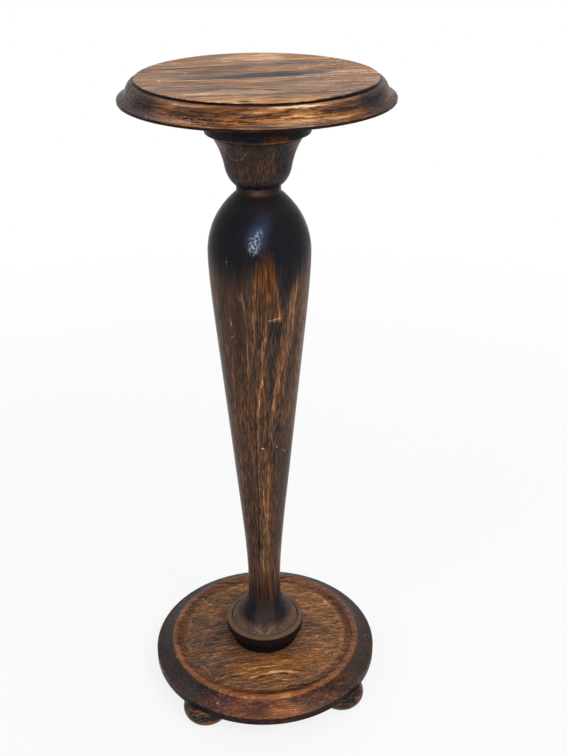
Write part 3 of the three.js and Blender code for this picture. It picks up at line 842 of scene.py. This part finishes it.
# The moulding round it: turn from the front in degrees, radius, width, strength
TOP_MOULD_LINES = [
    (-0.16, -0.3, [(-46, 158, 3, 0), (-38, 158, 4.6, 0.9), (-28, 156, 4.4, 1),
                   (-16, 154.6, 3, 1), (-5, 153.6, 2, 0)]),
    # painted highlight: pale gold on the ovolo at the front right
    (0.46, -0.2, [(-4, 152.2, 1.8, 0), (3, 152.2, 3.2, 0.9), (8, 152.2, 3.8, 1),
                  (18, 152.6, 3, 0.8), (27, 152.8, 1.6, 0)]),
    # painted highlight: pale on the ovolo at the front left
    (0.1, -0.5, [(-50, 152.6, 1.4, 0), (-44, 152.8, 2.2, 1), (-34, 153, 2.4, 1),
                 (-28, 153, 1.4, 0)]),
    (-0.4, 0, [(-16, 158, 0.6, 0), (-12, 158, 0.9, 0.9), (-2, 157.4, 0.9, 0.8),
               (6, 158.4, 0.9, 1), (14, 160, 0.8, 0.9), (20, 160.8, 0.6, 0)]),
    (-0.36, 0, [(2, 156.6, 0.6, 0), (5, 155.6, 0.9, 1), (9, 154.2, 0.9, 0.9),
                (20, 154.6, 0.9, 0.5), (28, 155, 0.6, 0)]),
    (-0.36, 0, [(-44, 160, 0.8, 0), (-34, 160.6, 1.3, 1), (-20, 160, 1.3, 0.8),
                (-6, 160.6, 1, 0)]),
    (-0.36, 0, [(-40, 162.6, 0.8, 0), (-28, 162.8, 1.2, 1), (-12, 162.8, 1.2, 1),
                (2, 162.6, 0.8, 0)]),
    (-0.2, -0.3, [(14, 155, 3, 0), (24, 155.6, 5, 0.8), (34, 156, 7, 1), (50, 156.6, 7, 0.9),
                  (62, 157, 5, 0)]),
    # painted highlight: gold on the cove's foot at the front
    (0.13, -0.1, [(-8, 161, 4, 0), (2, 161, 6, 0.6), (10, 161, 7, 1), (20, 162, 7, 1),
                  (30, 163, 5, 0.6), (42, 163, 4, 0)]),
    (-0.3, 0.2, [(-44, 165, 2, 0), (-30, 165.6, 2.4, 0.5), (-4, 165.6, 2.6, 0.7),
                 (4, 166, 3, 1), (26, 165.6, 3, 1), (46, 165, 2, 0)]),
    (0.1, 0.2, [(-12, 156.4, 2, 0), (-4, 156.4, 4, 1), (8, 156.8, 4.4, 1), (20, 157, 3, 0)]),
    (-0.08, 0.1, [(-34, 162, 4, 0), (-24, 162, 7, 1), (-14, 162, 5, 0.6), (-6, 162, 4, 0)]),
    (-0.09, 0.3, [(-42, 153, 3, 0), (-34, 154, 5, 0.5), (-20, 153.6, 6, 1), (-8, 153, 4, 0.8),
                  (-2, 152.6, 2, 0)]),
    (0.1, -0.2, [(-14, 149.6, 2, 0), (0, 149.6, 3, 1), (30, 149.6, 3, 0.6), (60, 149.6, 2, 0)]),
    (0.1, -0.1, [(56, 160, 8, 0), (68, 160, 14, 1), (90, 160, 14, 0.8), (110, 160, 8, 0)]),
]
TOP_MARKS = [((0, -80), (14, -86), 7, -0.28), ((-36, -134), (-24, -139), 8, -0.45)]
TOP_FLECKS = [
    ((-117.5, -9), (-115.5, -22), 3, 0.75),
    ((32, 94), (33, 108), 2.6, 0.6),
    ((-84, 20), (-85, 32), 2.4, 0.4),
]


def top_stain(tree):
    """Worn brown field with dark mineral streaks; darker moulding with painted gold highlights at
    the front; painted shade down the quirk and on the board's edge.
    """
    place, across, back, up, flat, radius, turn = plan(tree)
    tones, noises = grain(tree, place, "X", 1.0, [
        (2.0, 24, 0.13, 0.0), (5.0, 56, 0.12, 0.1), (12, 120, 0.04, 0.15), (28, 70, 0.03, 0.1)],
        (0.68, 0.65))
    fine, streak, band = noises[:3]
    curl = fibres(tree, place, "X", 5.0, 5.0, 2.0)
    curly = add(tree, "MapRange", "SMOOTHSTEP", across, 40, 90, 0.02, 0.11)
    tones = shaded(tree, tones, add(tree, "Math", "MULTIPLY", curl, curly))
    wavy = add(tree, "Math", "MULTIPLY_ADD", band, 3.0, back)
    wavy = add(tree, "Math", "MULTIPLY_ADD", streak, 1.5, wavy)
    field = figure(tree, tones, across, wavy, (-150, 150), (-170, 170), TOP_LINES)
    ragged = add(tree, "Math", "MULTIPLY_ADD", streak, 0.7, radius)
    ragged = add(tree, "Math", "MULTIPLY_ADD", fine, 0.5, ragged)
    off_front = add(tree, "Math", "ABSOLUTE", add(tree, "Math", "ADD", 4.0, turn))
    toned = add(tree, "MapRange", "SMOOTHSTEP", off_front, 38, 56, 0.0, 1.0)
    light, warmth = grain(tree, around(tree, radius, up), "X", 12.0, [
        (1.1, 16, 0.11, 0.0), (2.4, 42, 0.1, 0.1), (7, 90, 0.05, 0.15)], (0.6, 0.85))[0]
    mould = (add(tree, "Math", "MULTIPLY_ADD", toned, -0.22, light),
             add(tree, "Math", "MULTIPLY_ADD", toned, -0.65, warmth))
    mould = figure(tree, mould, turn, ragged, (-100, 100), (140, 180), TOP_MOULD_LINES)
    outside = add(tree, "MapRange", "SMOOTHSTEP", radius, top_field_radius + 0.3,
                  top_field_radius + 1.3, 0.0, 1.0)
    tones = covered(tree, field, outside, *mould)
    # Painted shade down the quirk's upright step and on the narrow ledge below it
    below = add(tree, "MapRange", "SMOOTHSTEP", up, top_face - 0.5, top_face - 0.9, 0.0, -0.7)
    inside = add(tree, "MapRange", "SMOOTHSTEP", radius, cornice_radius + 0.9,
                 cornice_radius + 0.1, 0.0, 1.0)
    step = add(tree, "Math", "MULTIPLY", below, inside)
    ledge = add(tree, "MapRange", "SMOOTHSTEP", radius, 151.6, 150.4, 0.0, -0.03)
    ledge = add(tree, "Math", "MULTIPLY", ledge, outside)
    # Painted shade on the board's upright edge
    edge = add(tree, "MapRange", "SMOOTHSTEP", up, top_underside + 3.4, top_underside + 3.0,
               0.0, -0.42)
    tones = shaded(tree, tones, strokes(tree, 0.0, flat, TOP_MARKS), step, ledge, edge)
    colour = stained(tree, tones, strokes(tree, 0.0, flat, TOP_FLECKS))
    purple = add(tree, "Math", "MULTIPLY", outside, toned)
    return tinted(tree, colour, purple, "#E8D2DA"), band, streak


# The base's figure from above: across, back, width, strength
BASE_LINES = [
    (0.06, 0.45, [(-90, -80, 10, 0), (-50, -78, 24, 0.6), (-10, -76, 38, 0.9),
                  (30, -76, 40, 1), (70, -68, 28, 0.8), (104, -54, 12, 0)]),
    (-0.07, -0.2, [(-128, 0, 40, 0), (-112, 0, 110, 0.8), (-80, -4, 140, 1), (-55, -10, 120, 0.7),
                   (-30, -20, 80, 0.3), (20, 20, 60, 0)]),
    (0.07, 0.25, [(50, 60, 16, 0), (76, 66, 34, 0.9), (100, 58, 36, 0.9), (118, 50, 20, 0)]),
    # cathedral figure at the front, with a dark line under each pale one
    (0.2, 0.5, [(-58, -120, 2.4, 0), (-44, -108, 3, 0.6), (-30, -98, 3.4, 0.9),
                (-14, -92, 3.4, 1), (0, -89, 3.4, 1), (14, -91, 3.6, 1), (28, -97, 3.4, 1),
                (40, -105, 3, 0.5), (52, -113, 2, 0)]),
    (-0.2, 0, [(-54, -120, 2.4, 0), (-40, -110, 3, 0.8), (-14, -96, 3, 1), (0, -93, 3, 1),
               (26, -101, 3, 0.8), (44, -112, 2, 0)]),
    (0.15, 0.5, [(-40, -122, 2, 0), (-22, -111, 3, 0.8), (-6, -105, 3.2, 1), (6, -104, 3.2, 1),
                 (20, -108, 3, 0.7), (34, -115, 2, 0)]),
    (-0.18, 0, [(-30, -118, 2, 0), (-6, -109, 2.6, 1), (6, -108, 2.6, 1), (26, -114, 2, 0)]),
    (0.12, 0.5, [(-96, -100, 2, 0), (-66, -90, 2.8, 0.7), (-30, -80, 3, 1), (0, -77, 3, 0.8),
                 (40, -80, 2.8, 0.7), (76, -88, 2, 0)]),
    (-0.14, 0, [(-90, -104, 2, 0), (-60, -93, 3, 1), (-28, -84, 3, 1), (4, -81, 3, 0.6),
                (44, -85, 2, 0)]),
    (0.2, 0.1, [(20, -92, 2, 0), (28, -95, 3, 1), (38, -99, 3, 1), (46, -104, 2, 0)]),
    # dark curved crack at the front right
    (-0.42, 0.1, [(12, -122, 1.4, 0), (24, -123, 3, 1), (46, -123, 3.4, 1), (64, -119, 3, 0.9),
                  (84, -110, 1.6, 0)]),
]
# Its rings: turn from the front in degrees, radius, width, strength
BASE_RING_LINES = [
    # inner orange line
    (0.07, 0.25, [(-180, 121, 3, 0), (-140, 120, 3, 0.4), (-110, 119, 4, 0.4), (-80, 119, 3, 0.3),
                  (-55, 122, 3, 0.4), (-35, 121, 3, 0.1), (-10, 118, 3.4, 0.7), (4, 116, 3.4, 1),
                  (14, 119, 3, 0.2), (40, 118, 3, 0), (60, 122, 4, 0.7), (80, 121, 5, 1),
                  (100, 120, 5, 1), (130, 120, 4, 0.7), (160, 121, 3, 0.2), (180, 121, 3, 0)]),
    # dark groove
    (-0.16, 0.0, [(-180, 130, 8, 0.6), (-120, 130, 11, 0.8), (-80, 131, 11, 0.8),
                  (-45, 131, 11, 0.7), (-30, 131, 9, 0.2), (40, 131, 11, 0.8), (70, 131, 10, 0.9),
                  (110, 130, 9, 1), (150, 130, 8, 0.8), (180, 130, 8, 0.6)]),
    (-0.14, 0.5, [(-36, 131, 6, 0), (-24, 131, 9, 0.9), (0, 132, 9, 1), (24, 134, 8, 0.7),
                  (34, 134, 6, 0)]),
    # lip: worn pale orange line round its top
    (0.05, 0.0, [(-180, 142, 4, 0.5), (-120, 142, 4.4, 0.8), (-60, 142, 5, 0.8),
                 (-20, 142, 6, 1), (10, 143, 6, 1), (40, 143, 4.6, 0.9), (80, 142.6, 3.8, 0.9),
                 (130, 142.6, 3.6, 0.8), (180, 142, 4, 0.5)]),
    (0.05, 0, [(-130, 142, 3, 0), (-110, 142, 4, 1), (-60, 142, 4, 1), (-45, 142, 3, 0)]),
    (-0.04, 0.4, [(-50, 139, 4, 0), (-30, 139, 8, 0.8), (-10, 139, 9, 1), (15, 139, 9, 1),
                  (34, 140, 4, 0)]),
    # cove: warmer and paler at the front, with a painted highlight: a pale gold patch
    (0.2, 0.4, [(-48, 156, 16, 0), (-38, 157, 26, 0.6), (-30, 157, 28, 0.8),
                (-10, 157, 30, 1), (12, 157, 30, 0.9), (20, 158, 26, 0.5), (40, 158, 26, 0.3),
                (60, 160, 20, 0)]),
    (0.14, 0.3, [(-8, 160, 10, 0), (-2, 160, 17, 0.8), (5, 160, 18, 1), (11, 161, 15, 0.8),
                 (15, 162, 8, 0)]),
]
BASE_MARKS = [
    ((-140, -20), (-130, 40), 24, -0.04),
    ((-66, -92), (-50, -100), 5, 0.12),
    ((-8, 134), (40, 132), 10, 0.12),
]
BASE_FLECKS = [
    ((79, -20), (78, -27), 2.2, 0.5),
    ((86, -60), (88, -63), 2.2, 0.7),
    ((85, 12), (86, 10), 2.2, 0.5),
    ((-88.5, -130), (-86, -132.5), 2.6, 0.9),
    ((-92, 94), (-88, 91), 2.2, 0.5),
    ((-73, 88), (-72, 86), 2.2, 0.5),
    ((-92, 108), (-90, 106), 2, 0.4),
    ((155, -22), (157, -22), 2.2, 0.5),
    ((-142, -34), (-140, -35), 2.2, 0.4),
]
base_heart = (0, -125)  # where the figure of the base board is centred
growth_ring = 4.4


def base_stain(tree):
    """Worn brown field with contour figure, dark groove, orange lip and darker cove; painted
    highlights on the cove and the rim's top edge, and painted shade on the rim's side.
    """
    place, across, back, up, flat, radius, turn = plan(tree)
    tones, noises = grain(tree, place, "X", 2.0, [
        (1.5, 15, 0.1, 0.0), (3.2, 26, 0.06, 0.1), (9, 40, 0.04, 0.14), (24, 40, 0.04, 0.14)],
        (0.605, 0.57))
    curl = fibres(tree, place, "X", 2.6, 3.4, 22.0)
    tones = shaded(tree, tones, add(tree, "Math", "MULTIPLY", curl, 0.06))
    fine, streak, band, blotch = noises
    # contour figure: rings of growth cut flat, as ovals twice as long as they are wide
    off = add(tree, "VectorMath", "SUBTRACT", flat, (*base_heart, 0))
    oval = add(tree, "VectorMath", "MULTIPLY", off, (0.5, 1, 1))
    contour = add(tree, "VectorMath", "LENGTH", oval).outputs["Value"]
    bent = add(tree, "Math", "MULTIPLY_ADD", blotch, 3.0, contour)
    bent = add(tree, "Math", "MULTIPLY_ADD", band, 1.5, bent)
    waves = add(tree, "Math", "MULTIPLY", bent, 2 * math.pi / growth_ring)
    waves = add(tree, "Math", "SINE", waves)
    share = add(tree, "MapRange", "SMOOTHSTEP", bent, 35, 80, 0.04, 0.08)
    tones = shaded(tree, tones, add(tree, "Math", "MULTIPLY", waves, share))
    wavy = add(tree, "Math", "MULTIPLY_ADD", blotch, 2.0, back)
    wavy = add(tree, "Math", "MULTIPLY_ADD", band, 1.6, wavy)
    shifted = add(tree, "Math", "MULTIPLY_ADD", streak, 2.0, across)
    tones = figure(tree, tones, shifted, wavy, (-150, 150), (-170, 170), BASE_LINES)
    outside = add(tree, "MapRange", "SMOOTHSTEP", radius, lip_radius + 0.6,
                  lip_radius + 2.4, 0.0, 1.0)
    lip = add(tree, "MapRange", "SMOOTHSTEP", radius, groove_radius, groove_radius + 5, 0.0,
              0.35)
    lip = add(tree, "Math", "MULTIPLY_ADD", outside, -0.35, lip)
    tones = covered(tree, tones, lip, 0.62, 0.6)
    left_toner = add(tree, "MapRange", "SMOOTHSTEP", turn, -30, -42, 0.0, -0.1)
    cove_toner = add(tree, "Math", "ADD", -0.24, left_toner)
    light, warmth = shaded(tree, tones, add(tree, "Math", "MULTIPLY", outside, cove_toner))
    tones = (light, add(tree, "Math", "MULTIPLY_ADD", outside, -0.36, warmth))
    ragged = add(tree, "Math", "MULTIPLY_ADD", blotch, 1.2, radius)
    ragged = add(tree, "Math", "MULTIPLY_ADD", band, 0.9, ragged)
    ragged = add(tree, "Math", "MULTIPLY_ADD", fine, 0.4, ragged)
    off_front = add(tree, "Math", "ABSOLUTE", turn)
    side = add(tree, "MapRange", "SMOOTHSTEP", off_front, 36, 52, 0.0, 0.6)
    side_cove = add(tree, "Math", "MULTIPLY", outside, side)
    tones = covered(tree, tones, side_cove, 0.36, 0.0)
    tones = figure(tree, tones, turn, ragged, (-180, 180), (100, 180), BASE_RING_LINES)
    off_joint = add(tree, "Math", "ABSOLUTE", add(tree, "Math", "ADD", -strip_joint, back))
    off_rim = add(tree, "Math", "ADD", 0.7 - base_radius, radius)
    off_rim = add(tree, "Math", "ABSOLUTE", off_rim)
    tones = shaded(
        tree, tones, strokes(tree, 0.0, flat, BASE_MARKS),
        # painted shade on the rim's upright side
        add(tree, "MapRange", "SMOOTHSTEP", up, base_rim_top - 1.0, base_rim_top - 1.6, 0.0,
            -0.36),
        # painted highlight: a lighter line round the rim's top edge
        add(tree, "MapRange", "SMOOTHSTEP", off_rim, 1.3, 0.5, 0.0, 0.1),
        add(tree, "MapRange", "SMOOTHSTEP", off_joint, 1.5, 0.5, 0.0, -0.5))
    colour = stained(tree, tones, strokes(tree, 0.0, flat, BASE_FLECKS))
    # the toner is reddish on the lip, more so on the cove at the front, not at its sides
    reddish = add(tree, "MapRange", "SMOOTHSTEP", radius, groove_radius, groove_radius + 6,
                  0.0, 0.6)
    reddish = add(tree, "Math", "MULTIPLY_ADD", outside, 0.4, reddish)
    reddish = add(tree, "Math", "MULTIPLY_ADD", side_cove, -1.6, reddish)
    return tinted(tree, colour, reddish, "#F0D6DE"), band, streak


# The bell's figure from its photographed side: up, across, width, strength
BELL_LINES = [
    (0.16, 0.1, [(793, 0, 1, 0), (800, 2, 1.2, 1), (818, 5, 1.1, 0.8), (834, 9, 1, 0)]),
    (0.2, 0.1, [(792, 3, 1, 0), (800, 6, 1.3, 1), (818, 9, 1.2, 1), (838, 13, 1, 0)]),
    (0.14, 0.1, [(792, 7, 1, 0), (802, 9.5, 1.1, 1), (822, 12.5, 1.1, 1), (838, 16, 1, 0)]),
    (0.2, 0.1, [(794, 10, 1, 0), (804, 12.5, 1.3, 1), (824, 16, 1.2, 1), (840, 19, 1, 0)]),
    (0.24, 0, [(796, 15, 1, 0), (808, 17, 1.4, 0.8), (826, 18.5, 1.5, 1), (838, 22, 1.4, 0.8),
               (842, 27, 1, 0)]),
    (0.12, 0.1, [(794, -4, 1, 0), (802, -2, 1.1, 1), (814, 1, 1.1, 0.8), (826, 3, 1, 0)]),
    (0.1, 0.2, [(806, -4, 1, 0), (816, -1, 1.4, 1), (828, 1, 1.2, 0)]),
    # painted sheen: cooler, lighter bands high on both sides
    (0.26, -0.5, [(818, -45, 10, 0), (828, -46, 14, 0.8), (838, -46, 18, 1), (843, -48, 20, 0.6)]),
    (0.15, -0.5, [(818, 46, 10, 0), (828, 47, 12, 0.8), (838, 48, 16, 1), (843, 48, 16, 0.6)]),
    (-0.05, -0.3, [(792, 28, 10, 0), (804, 29, 13, 1), (830, 29, 14, 1), (842, 32, 12, 0)]),
    (0.02, 0.2, [(790, 2, 30, 0), (800, 3, 38, 1), (826, 4, 42, 0.9), (838, 4, 44, 0)]),
    (0.03, 0.15, [(794, -24, 14, 0), (806, -25, 18, 1), (820, -26, 16, 0.6), (832, -28, 14, 0)]),
]
BELL_MARKS = [
    ((-13, 835), (-20, 824), 1.7, 0.22),  # hooked scratch
    ((-19, 825), (-29, 821), 1.7, 0.26),
    ((-28, 821), (-34, 825), 1.5, 0.2),
    ((-14, 833), (-30, 828), 1.4, 0.14),
    ((-46, 838), (-30, 843), 2.2, -0.12),
    ((-40, 828), (-26, 843), 1.8, -0.12),
    # painted shadow of the plate along the bell's top
    ((-48, 845), (48, 845), 5, -0.1),
]


def bell_stain(tree):
    """Brown-black toner, rubbed through along slanting fibres at the front; painted sheen high on
    its sides, painted shade low down and under the plate.
    """
    place = millimetres(tree, front_turn)
    axes = add(tree, "SeparateXYZ", Vector=place).outputs
    across, up = axes[0], axes[2]
    tones, noises = grain(tree, place, "Z", 5.0, [
        (1.4, 20, 0.08, 0.0), (4, 40, 0.06, 0.1), (12, 50, 0.02, 0.1)], (0.365, 0.02))
    fine, streak, band = noises
    torn_up = add(tree, "Math", "MULTIPLY_ADD", streak, 2.0, up)
    torn_across = add(tree, "Math", "MULTIPLY_ADD", fine, 0.4, across)
    tones = figure(tree, tones, torn_up, torn_across, (770, 860), (-75, 75), BELL_LINES)
    flat = add(tree, "CombineXYZ", X=across, Y=up)
    tones = shaded(tree, tones, strokes(tree, 0.0, flat, BELL_MARKS),
                   # painted shade low on the bell, where it curves under towards the ring
                   add(tree, "MapRange", "SMOOTHSTEP", up, 794, 787, 0.0, -0.2),
                   add(tree, "MapRange", "SMOOTHSTEP", up, 844.2, 845.2, 0.0, 0.16))
    return stained(tree, tones), band, fine


def plate_stain(tree):
    """Near-black toner, rubbed through to orange along the lower edge; pale glue joint."""
    place, across, _, up, _, _, turn = plan(tree)
    tones, noises = grain(tree, place, "X", 2.0, [
        (1.6, 20, 0.06, 0.0), (5, 60, 0.06, 0.1)], (0.21, 0.0))
    fine, streak = noises
    low_edge = add(tree, "MapRange", "SMOOTHSTEP", up, plate_underside + 14,
                   plate_underside + 3, 0.0, 1.0)
    off_worn = add(tree, "Math", "ABSOLUTE", add(tree, "Math", "ADD", -14.0, turn))
    worn = add(tree, "MapRange", "SMOOTHSTEP", off_worn, 4, 22, 1.0, 0.0)
    worn = add(tree, "Math", "MULTIPLY", low_edge, worn)
    line = add(tree, "MapRange", "SMOOTHSTEP", up, plate_underside + 1.7,
               plate_underside + 1.0, 0.0, 1.0)
    off_joint = add(tree, "Math", "ABSOLUTE", across)
    joint = add(tree, "MapRange", "SMOOTHSTEP", off_joint, 1.1, 0.4, 0.0, 0.16)
    light, warmth = shaded(tree, tones, joint, *(
        add(tree, "Math", "MULTIPLY", mask, amount)
        for mask, amount in ((worn, 0.16), (low_edge, 0.05), (line, 0.24))))
    warmth = add(tree, "Math", "MULTIPLY_ADD", worn, 0.9, warmth)
    return stained(tree, (light, warmth)), streak, fine


def foot_stain(tree):
    """Dark brown stain, rubbed orange in patches."""
    tones, noises = grain(tree, millimetres(tree), "X", 8.0, [
        (1.8, 16, 0.17, 0.1), (5, 24, 0.12, 0.25), (12, 24, 0.08, 0.3)], (0.41, 0.4))
    return stained(tree, tones), noises[2], noises[1]


STEEL = [(0.0, "#77746E"), (0.5, "#96938C"), (1.0, "#B4B1AA")]
BIRCH = [(0.0, "#A98A62"), (0.5, "#C9AE84"), (1.0, "#DDC8A4")]


def oiled_steel():
    """Bright turned steel under a thin film of oil: grey, a little patchy, with a soft shine.

    The turning marks are about 0.1 mm apart, too fine to show in the render. They and the
    film are drawn as marks 1.2 mm wide and patches 4 mm across.
    """
    material, tree, shader = new_material("turned_bright_steel")
    place = millimetres(tree)
    patches = fibres(tree, place, "X", 4.0, 4.0, 3.0)
    patches = add(tree, "MapRange", "SMOOTHSTEP", patches, -1.0, 1.0, 0.0, 1.0)
    film = fibres(tree, place, "X", 1.2, 6.0, 9.0)
    colour = add(tree, "ValToRGB", {"stops": STEEL}, Fac=patches)
    rough = add(tree, "MapRange", "SMOOTHSTEP", film, -1.0, 1.0, 0.3, 0.5)
    bump = add(tree, "Bump", Height=film, Strength=1.0, Distance=0.02 * MM)
    feed(tree, shader, Base_Color=colour, Roughness=rough, Normal=bump, Metallic=1.0)
    return material


def bare_dowels():
    """Bare birch, turned and left unstained: pale and matt, with upright fibres.

    The fibres are about 0.1 mm wide, too fine to show, and are drawn 0.8 mm wide.
    """
    material, tree, shader = new_material("bare_turned_birch")
    tones, noises = grain(tree, millimetres(tree), "Z", 6.0, [
        (0.8, 14, 0.12, 0.0), (3, 40, 0.12, 0.0)])
    colour = add(tree, "ValToRGB", {"stops": BIRCH}, Fac=tones[0])
    rough = add(tree, "MapRange", "SMOOTHSTEP", noises[1], -1.0, 1.0, 0.55, 0.72)
    bump = add(tree, "Bump", Height=noises[0], Strength=1.0, Distance=0.05 * MM)
    feed(tree, shader, Base_Color=colour, Roughness=rough, Normal=bump,
         Specular_IOR_Level=0.3)
    return material


# ---- Pieces ----


def dress(piece, material, slot, *nodes):
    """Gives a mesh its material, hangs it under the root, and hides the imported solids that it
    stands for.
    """
    piece.data.materials.append(material)
    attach(piece, "root")
    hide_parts(*nodes)


# roughness, specular level and relief in millimetres
top_maple = varnished("stained_maple_top", top_stain, 0.32, 0.05, 0.16)
plate_maple = varnished("toned_maple_plate", plate_stain, 0.3, 0.035, 0.08)
bell_maple = varnished("toned_maple_bell", bell_stain, 0.3, 0.035, 0.1)
column_maple = varnished("flamed_maple_column", column_stain, 0.17, 0.03, 0.08)
base_maple = varnished("stained_maple_base", base_stain, 0.32, 0.06, 0.16)
foot_maple = varnished("stained_maple_foot", foot_stain, 0.32, 0.07, 0.1)

dress(turned("top_turned", top_outline(), board_sides), top_maple, "top_wood", "top_board")
for side, start in (("left", math.pi), ("right", 0.0)):
    dress(turned(f"plate_{side}_turned", plate_outline(), column_sides, start, math.pi),
          plate_maple, "plate_wood", f"capital_plate_{side}")
dress(turned("bell_turned", bell_outline(), column_sides), bell_maple, "bell_wood",
      "capital_bell")
for side, start in (("left", column_seam + math.pi), ("right", column_seam)):
    dress(turned(f"column_{side}_turned", column_outline(), column_sides, start, math.pi),
          column_maple, "column_wood", f"column_{side}")
base_joint = high("base_board")[1]
strip_front = low("base_back_strip")[1]
dress(sawn(turned("base_board_turned", base_outline(), board_sides), base_joint, False),
      base_maple, "base_wood", "base_board")
dress(sawn(turned("base_strip_turned", base_outline(), board_sides), strip_front, True),
      base_maple, "base_wood", "base_back_strip")
for place in ("front_left", "front_right", "back_right", "back_left"):
    middle = (low(f"foot_{place}") + high(f"foot_{place}")) / 2
    dress(turned(f"foot_{place}_turned", foot_outline(), foot_sides, centre=middle[:2]),
          foot_maple, "foot_wood", f"foot_{place}")

turned_steel = oiled_steel()
bare_birch = bare_dowels()
for node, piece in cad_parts.items():
    hardware = "screw" in node or "washer" in node
    if hardware or "dowel" in node:
        for slot in piece.material_slots:
            slot.material = turned_steel if hardware else bare_birch

# ---- Floor, light and camera ----


def seen_directly(tree):
    """1 for what cameras, reflections and clear glass see, 0 for what lights surfaces."""
    path = add(tree, "LightPath").outputs
    mirrored = add(tree, "Math", "MAXIMUM", path["Is Glossy Ray"], path["Is Transmission Ray"])
    return add(tree, "Math", "MAXIMUM", path["Is Camera Ray"], mirrored)


def white_floor():
    """Matt white wall paint, rolled on: even, with no shine.

    Cameras and reflections see it as plain white, but for the stand's soft shadow.
    """
    material, tree, _ = new_material("matt_white_floor_paint")
    tree.nodes.clear()
    paint = add(tree, "BsdfDiffuse", Color=linear("#F4F4F4"))
    glow = add(tree, "Emission", Color=(1, 1, 1, 1), Strength=1.0)
    place = add(tree, "TexCoord").outputs["Object"]
    away = add(tree, "VectorMath", "LENGTH", place).outputs["Value"]
    share = add(tree, "MapRange", "SMOOTHSTEP", away, glow_near, glow_far, floor_glow, 1.0)
    share = add(tree, "Math", "MULTIPLY", seen_directly(tree), share)
    add(tree, "OutputMaterial", Surface=add(tree, "MixShader", (), share, paint, glow))
    return material


def studio_world():
    """Walls that cameras and reflections see as white.

    Their light is that of a room: brighter and a little blue at the sides, dimmer in front.
    """
    world = bpy.data.worlds.new("studio_walls")
    world.use_nodes = True
    tree = world.node_tree
    tree.nodes.clear()
    direction = add(tree, "TexCoord").outputs["Generated"]
    back = add(tree, "SeparateXYZ", Vector=direction).outputs["Y"]
    level = add(tree, "MapRange", "SMOOTHSTEP", back, -1.0, 0.1, wall_front, wall_side)
    walls = add(tree, "Background", Color=linear(wall_colour), Strength=level)
    white = add(tree, "Background", Color=(1, 1, 1, 1), Strength=1.0)
    mixed = add(tree, "MixShader", (), seen_directly(tree), walls, white)
    add(tree, "OutputWorld", Surface=mixed)
    return world


def softbox(name, azimuth, elevation, distance, width, height, watts, aim, diffuse=True,
            glossy=True, colour="#FFFFFF"):
    """Area lamp at a turn from the front towards +X and a rise, both in degrees.

    It stands so many metres from the point at the height aim (mm) on the stand's axis and
    faces it. It can light surfaces only, or show in reflections only.
    """
    lamp = bpy.data.lights.new(name, "AREA")
    lamp.shape = "RECTANGLE"
    lamp.size = width
    lamp.size_y = height
    lamp.energy = watts
    lamp.color = linear(colour)[:3]
    turn, rise = math.radians(azimuth), math.radians(elevation)
    away = Vector((math.sin(turn) * math.cos(rise), -math.cos(turn) * math.cos(rise),
                   math.sin(rise)))
    box = bpy.data.objects.new(name, lamp)
    box.location = Vector((0, 0, aim * MM)) + away * distance
    box.rotation_euler = away.to_track_quat("Z", "Y").to_euler()
    box.visible_camera = False
    box.visible_diffuse = diffuse
    box.visible_glossy = glossy
    bpy.context.scene.collection.objects.link(box)


floor_glow = 0.84  # share of plain white in what cameras see of the floor by the stand
glow_near, glow_far = 0.3, 2.0  # metres from the middle: from there on, all plain white
floor_half = 20.0  # metres
floor_gap = 0.2  # millimetres under the soles
wall_front = 0.22  # strength of the walls' light from the front
wall_side = 0.5  # and from the sides and the back
wall_colour = "#F8FAFF"

floor_mesh = bpy.data.meshes.new("floor")
floor_mesh.from_pydata([(x * floor_half, y * floor_half, -floor_gap * MM)
                        for x, y in ((-1, -1), (1, -1), (1, 1), (-1, 1))], [], [(0, 1, 2, 3)])
floor = bpy.data.objects.new("floor", floor_mesh)
bpy.context.scene.collection.objects.link(floor)
floor_mesh.materials.append(white_floor())
bpy.context.scene.world = studio_world()

softbox("key_softbox", 28, 38, 2.4, 0.9, 1.2, 28, 500, glossy=False)
softbox("fill_softbox", -50, 30, 2.6, 0.9, 1.2, 12, 500, glossy=False)
softbox("top_softbox", 150, 70, 2.2, 1.4, 1.4, 12, 900, glossy=False)
softbox("window_reflection", -18, 24, 2.2, 0.3, 0.8, 44, 728, diffuse=False,
        colour="#A9C4FF")
softbox("right_reflection", 108, 74, 2.4, 0.5, 0.4, 110, 500, diffuse=False, colour="#FFE8CC")
softbox("left_reflection", -127, 55, 2.4, 0.3, 0.3, 56, 900, diffuse=False, colour="#FFF0F0")

camera_place = Vector((-152.4, -1258.0, 1167.2))  # millimetres
camera_heading = math.radians(81.72)  # from +X towards +Y
camera_pitch = math.radians(-27.524)
camera_roll = math.radians(-0.209)
camera_lens = 49.52  # millimetres, before a film 36 mm wide

camera = bpy.data.objects.new("camera", bpy.data.cameras.new("camera"))
camera.data.lens = camera_lens
camera.data.sensor_width = 36
pan = Matrix.Rotation(camera_heading - math.pi / 2, 4, "Z")
tilt = Matrix.Rotation(math.pi / 2 + camera_pitch, 4, "X")
roll = Matrix.Rotation(camera_roll, 4, "Z")
camera.matrix_world = Matrix.Translation(camera_place * MM) @ pan @ tilt @ roll
bpy.context.scene.collection.objects.link(camera)
bpy.context.scene.camera = camera

bpy.context.scene.view_settings.view_transform = "Standard"
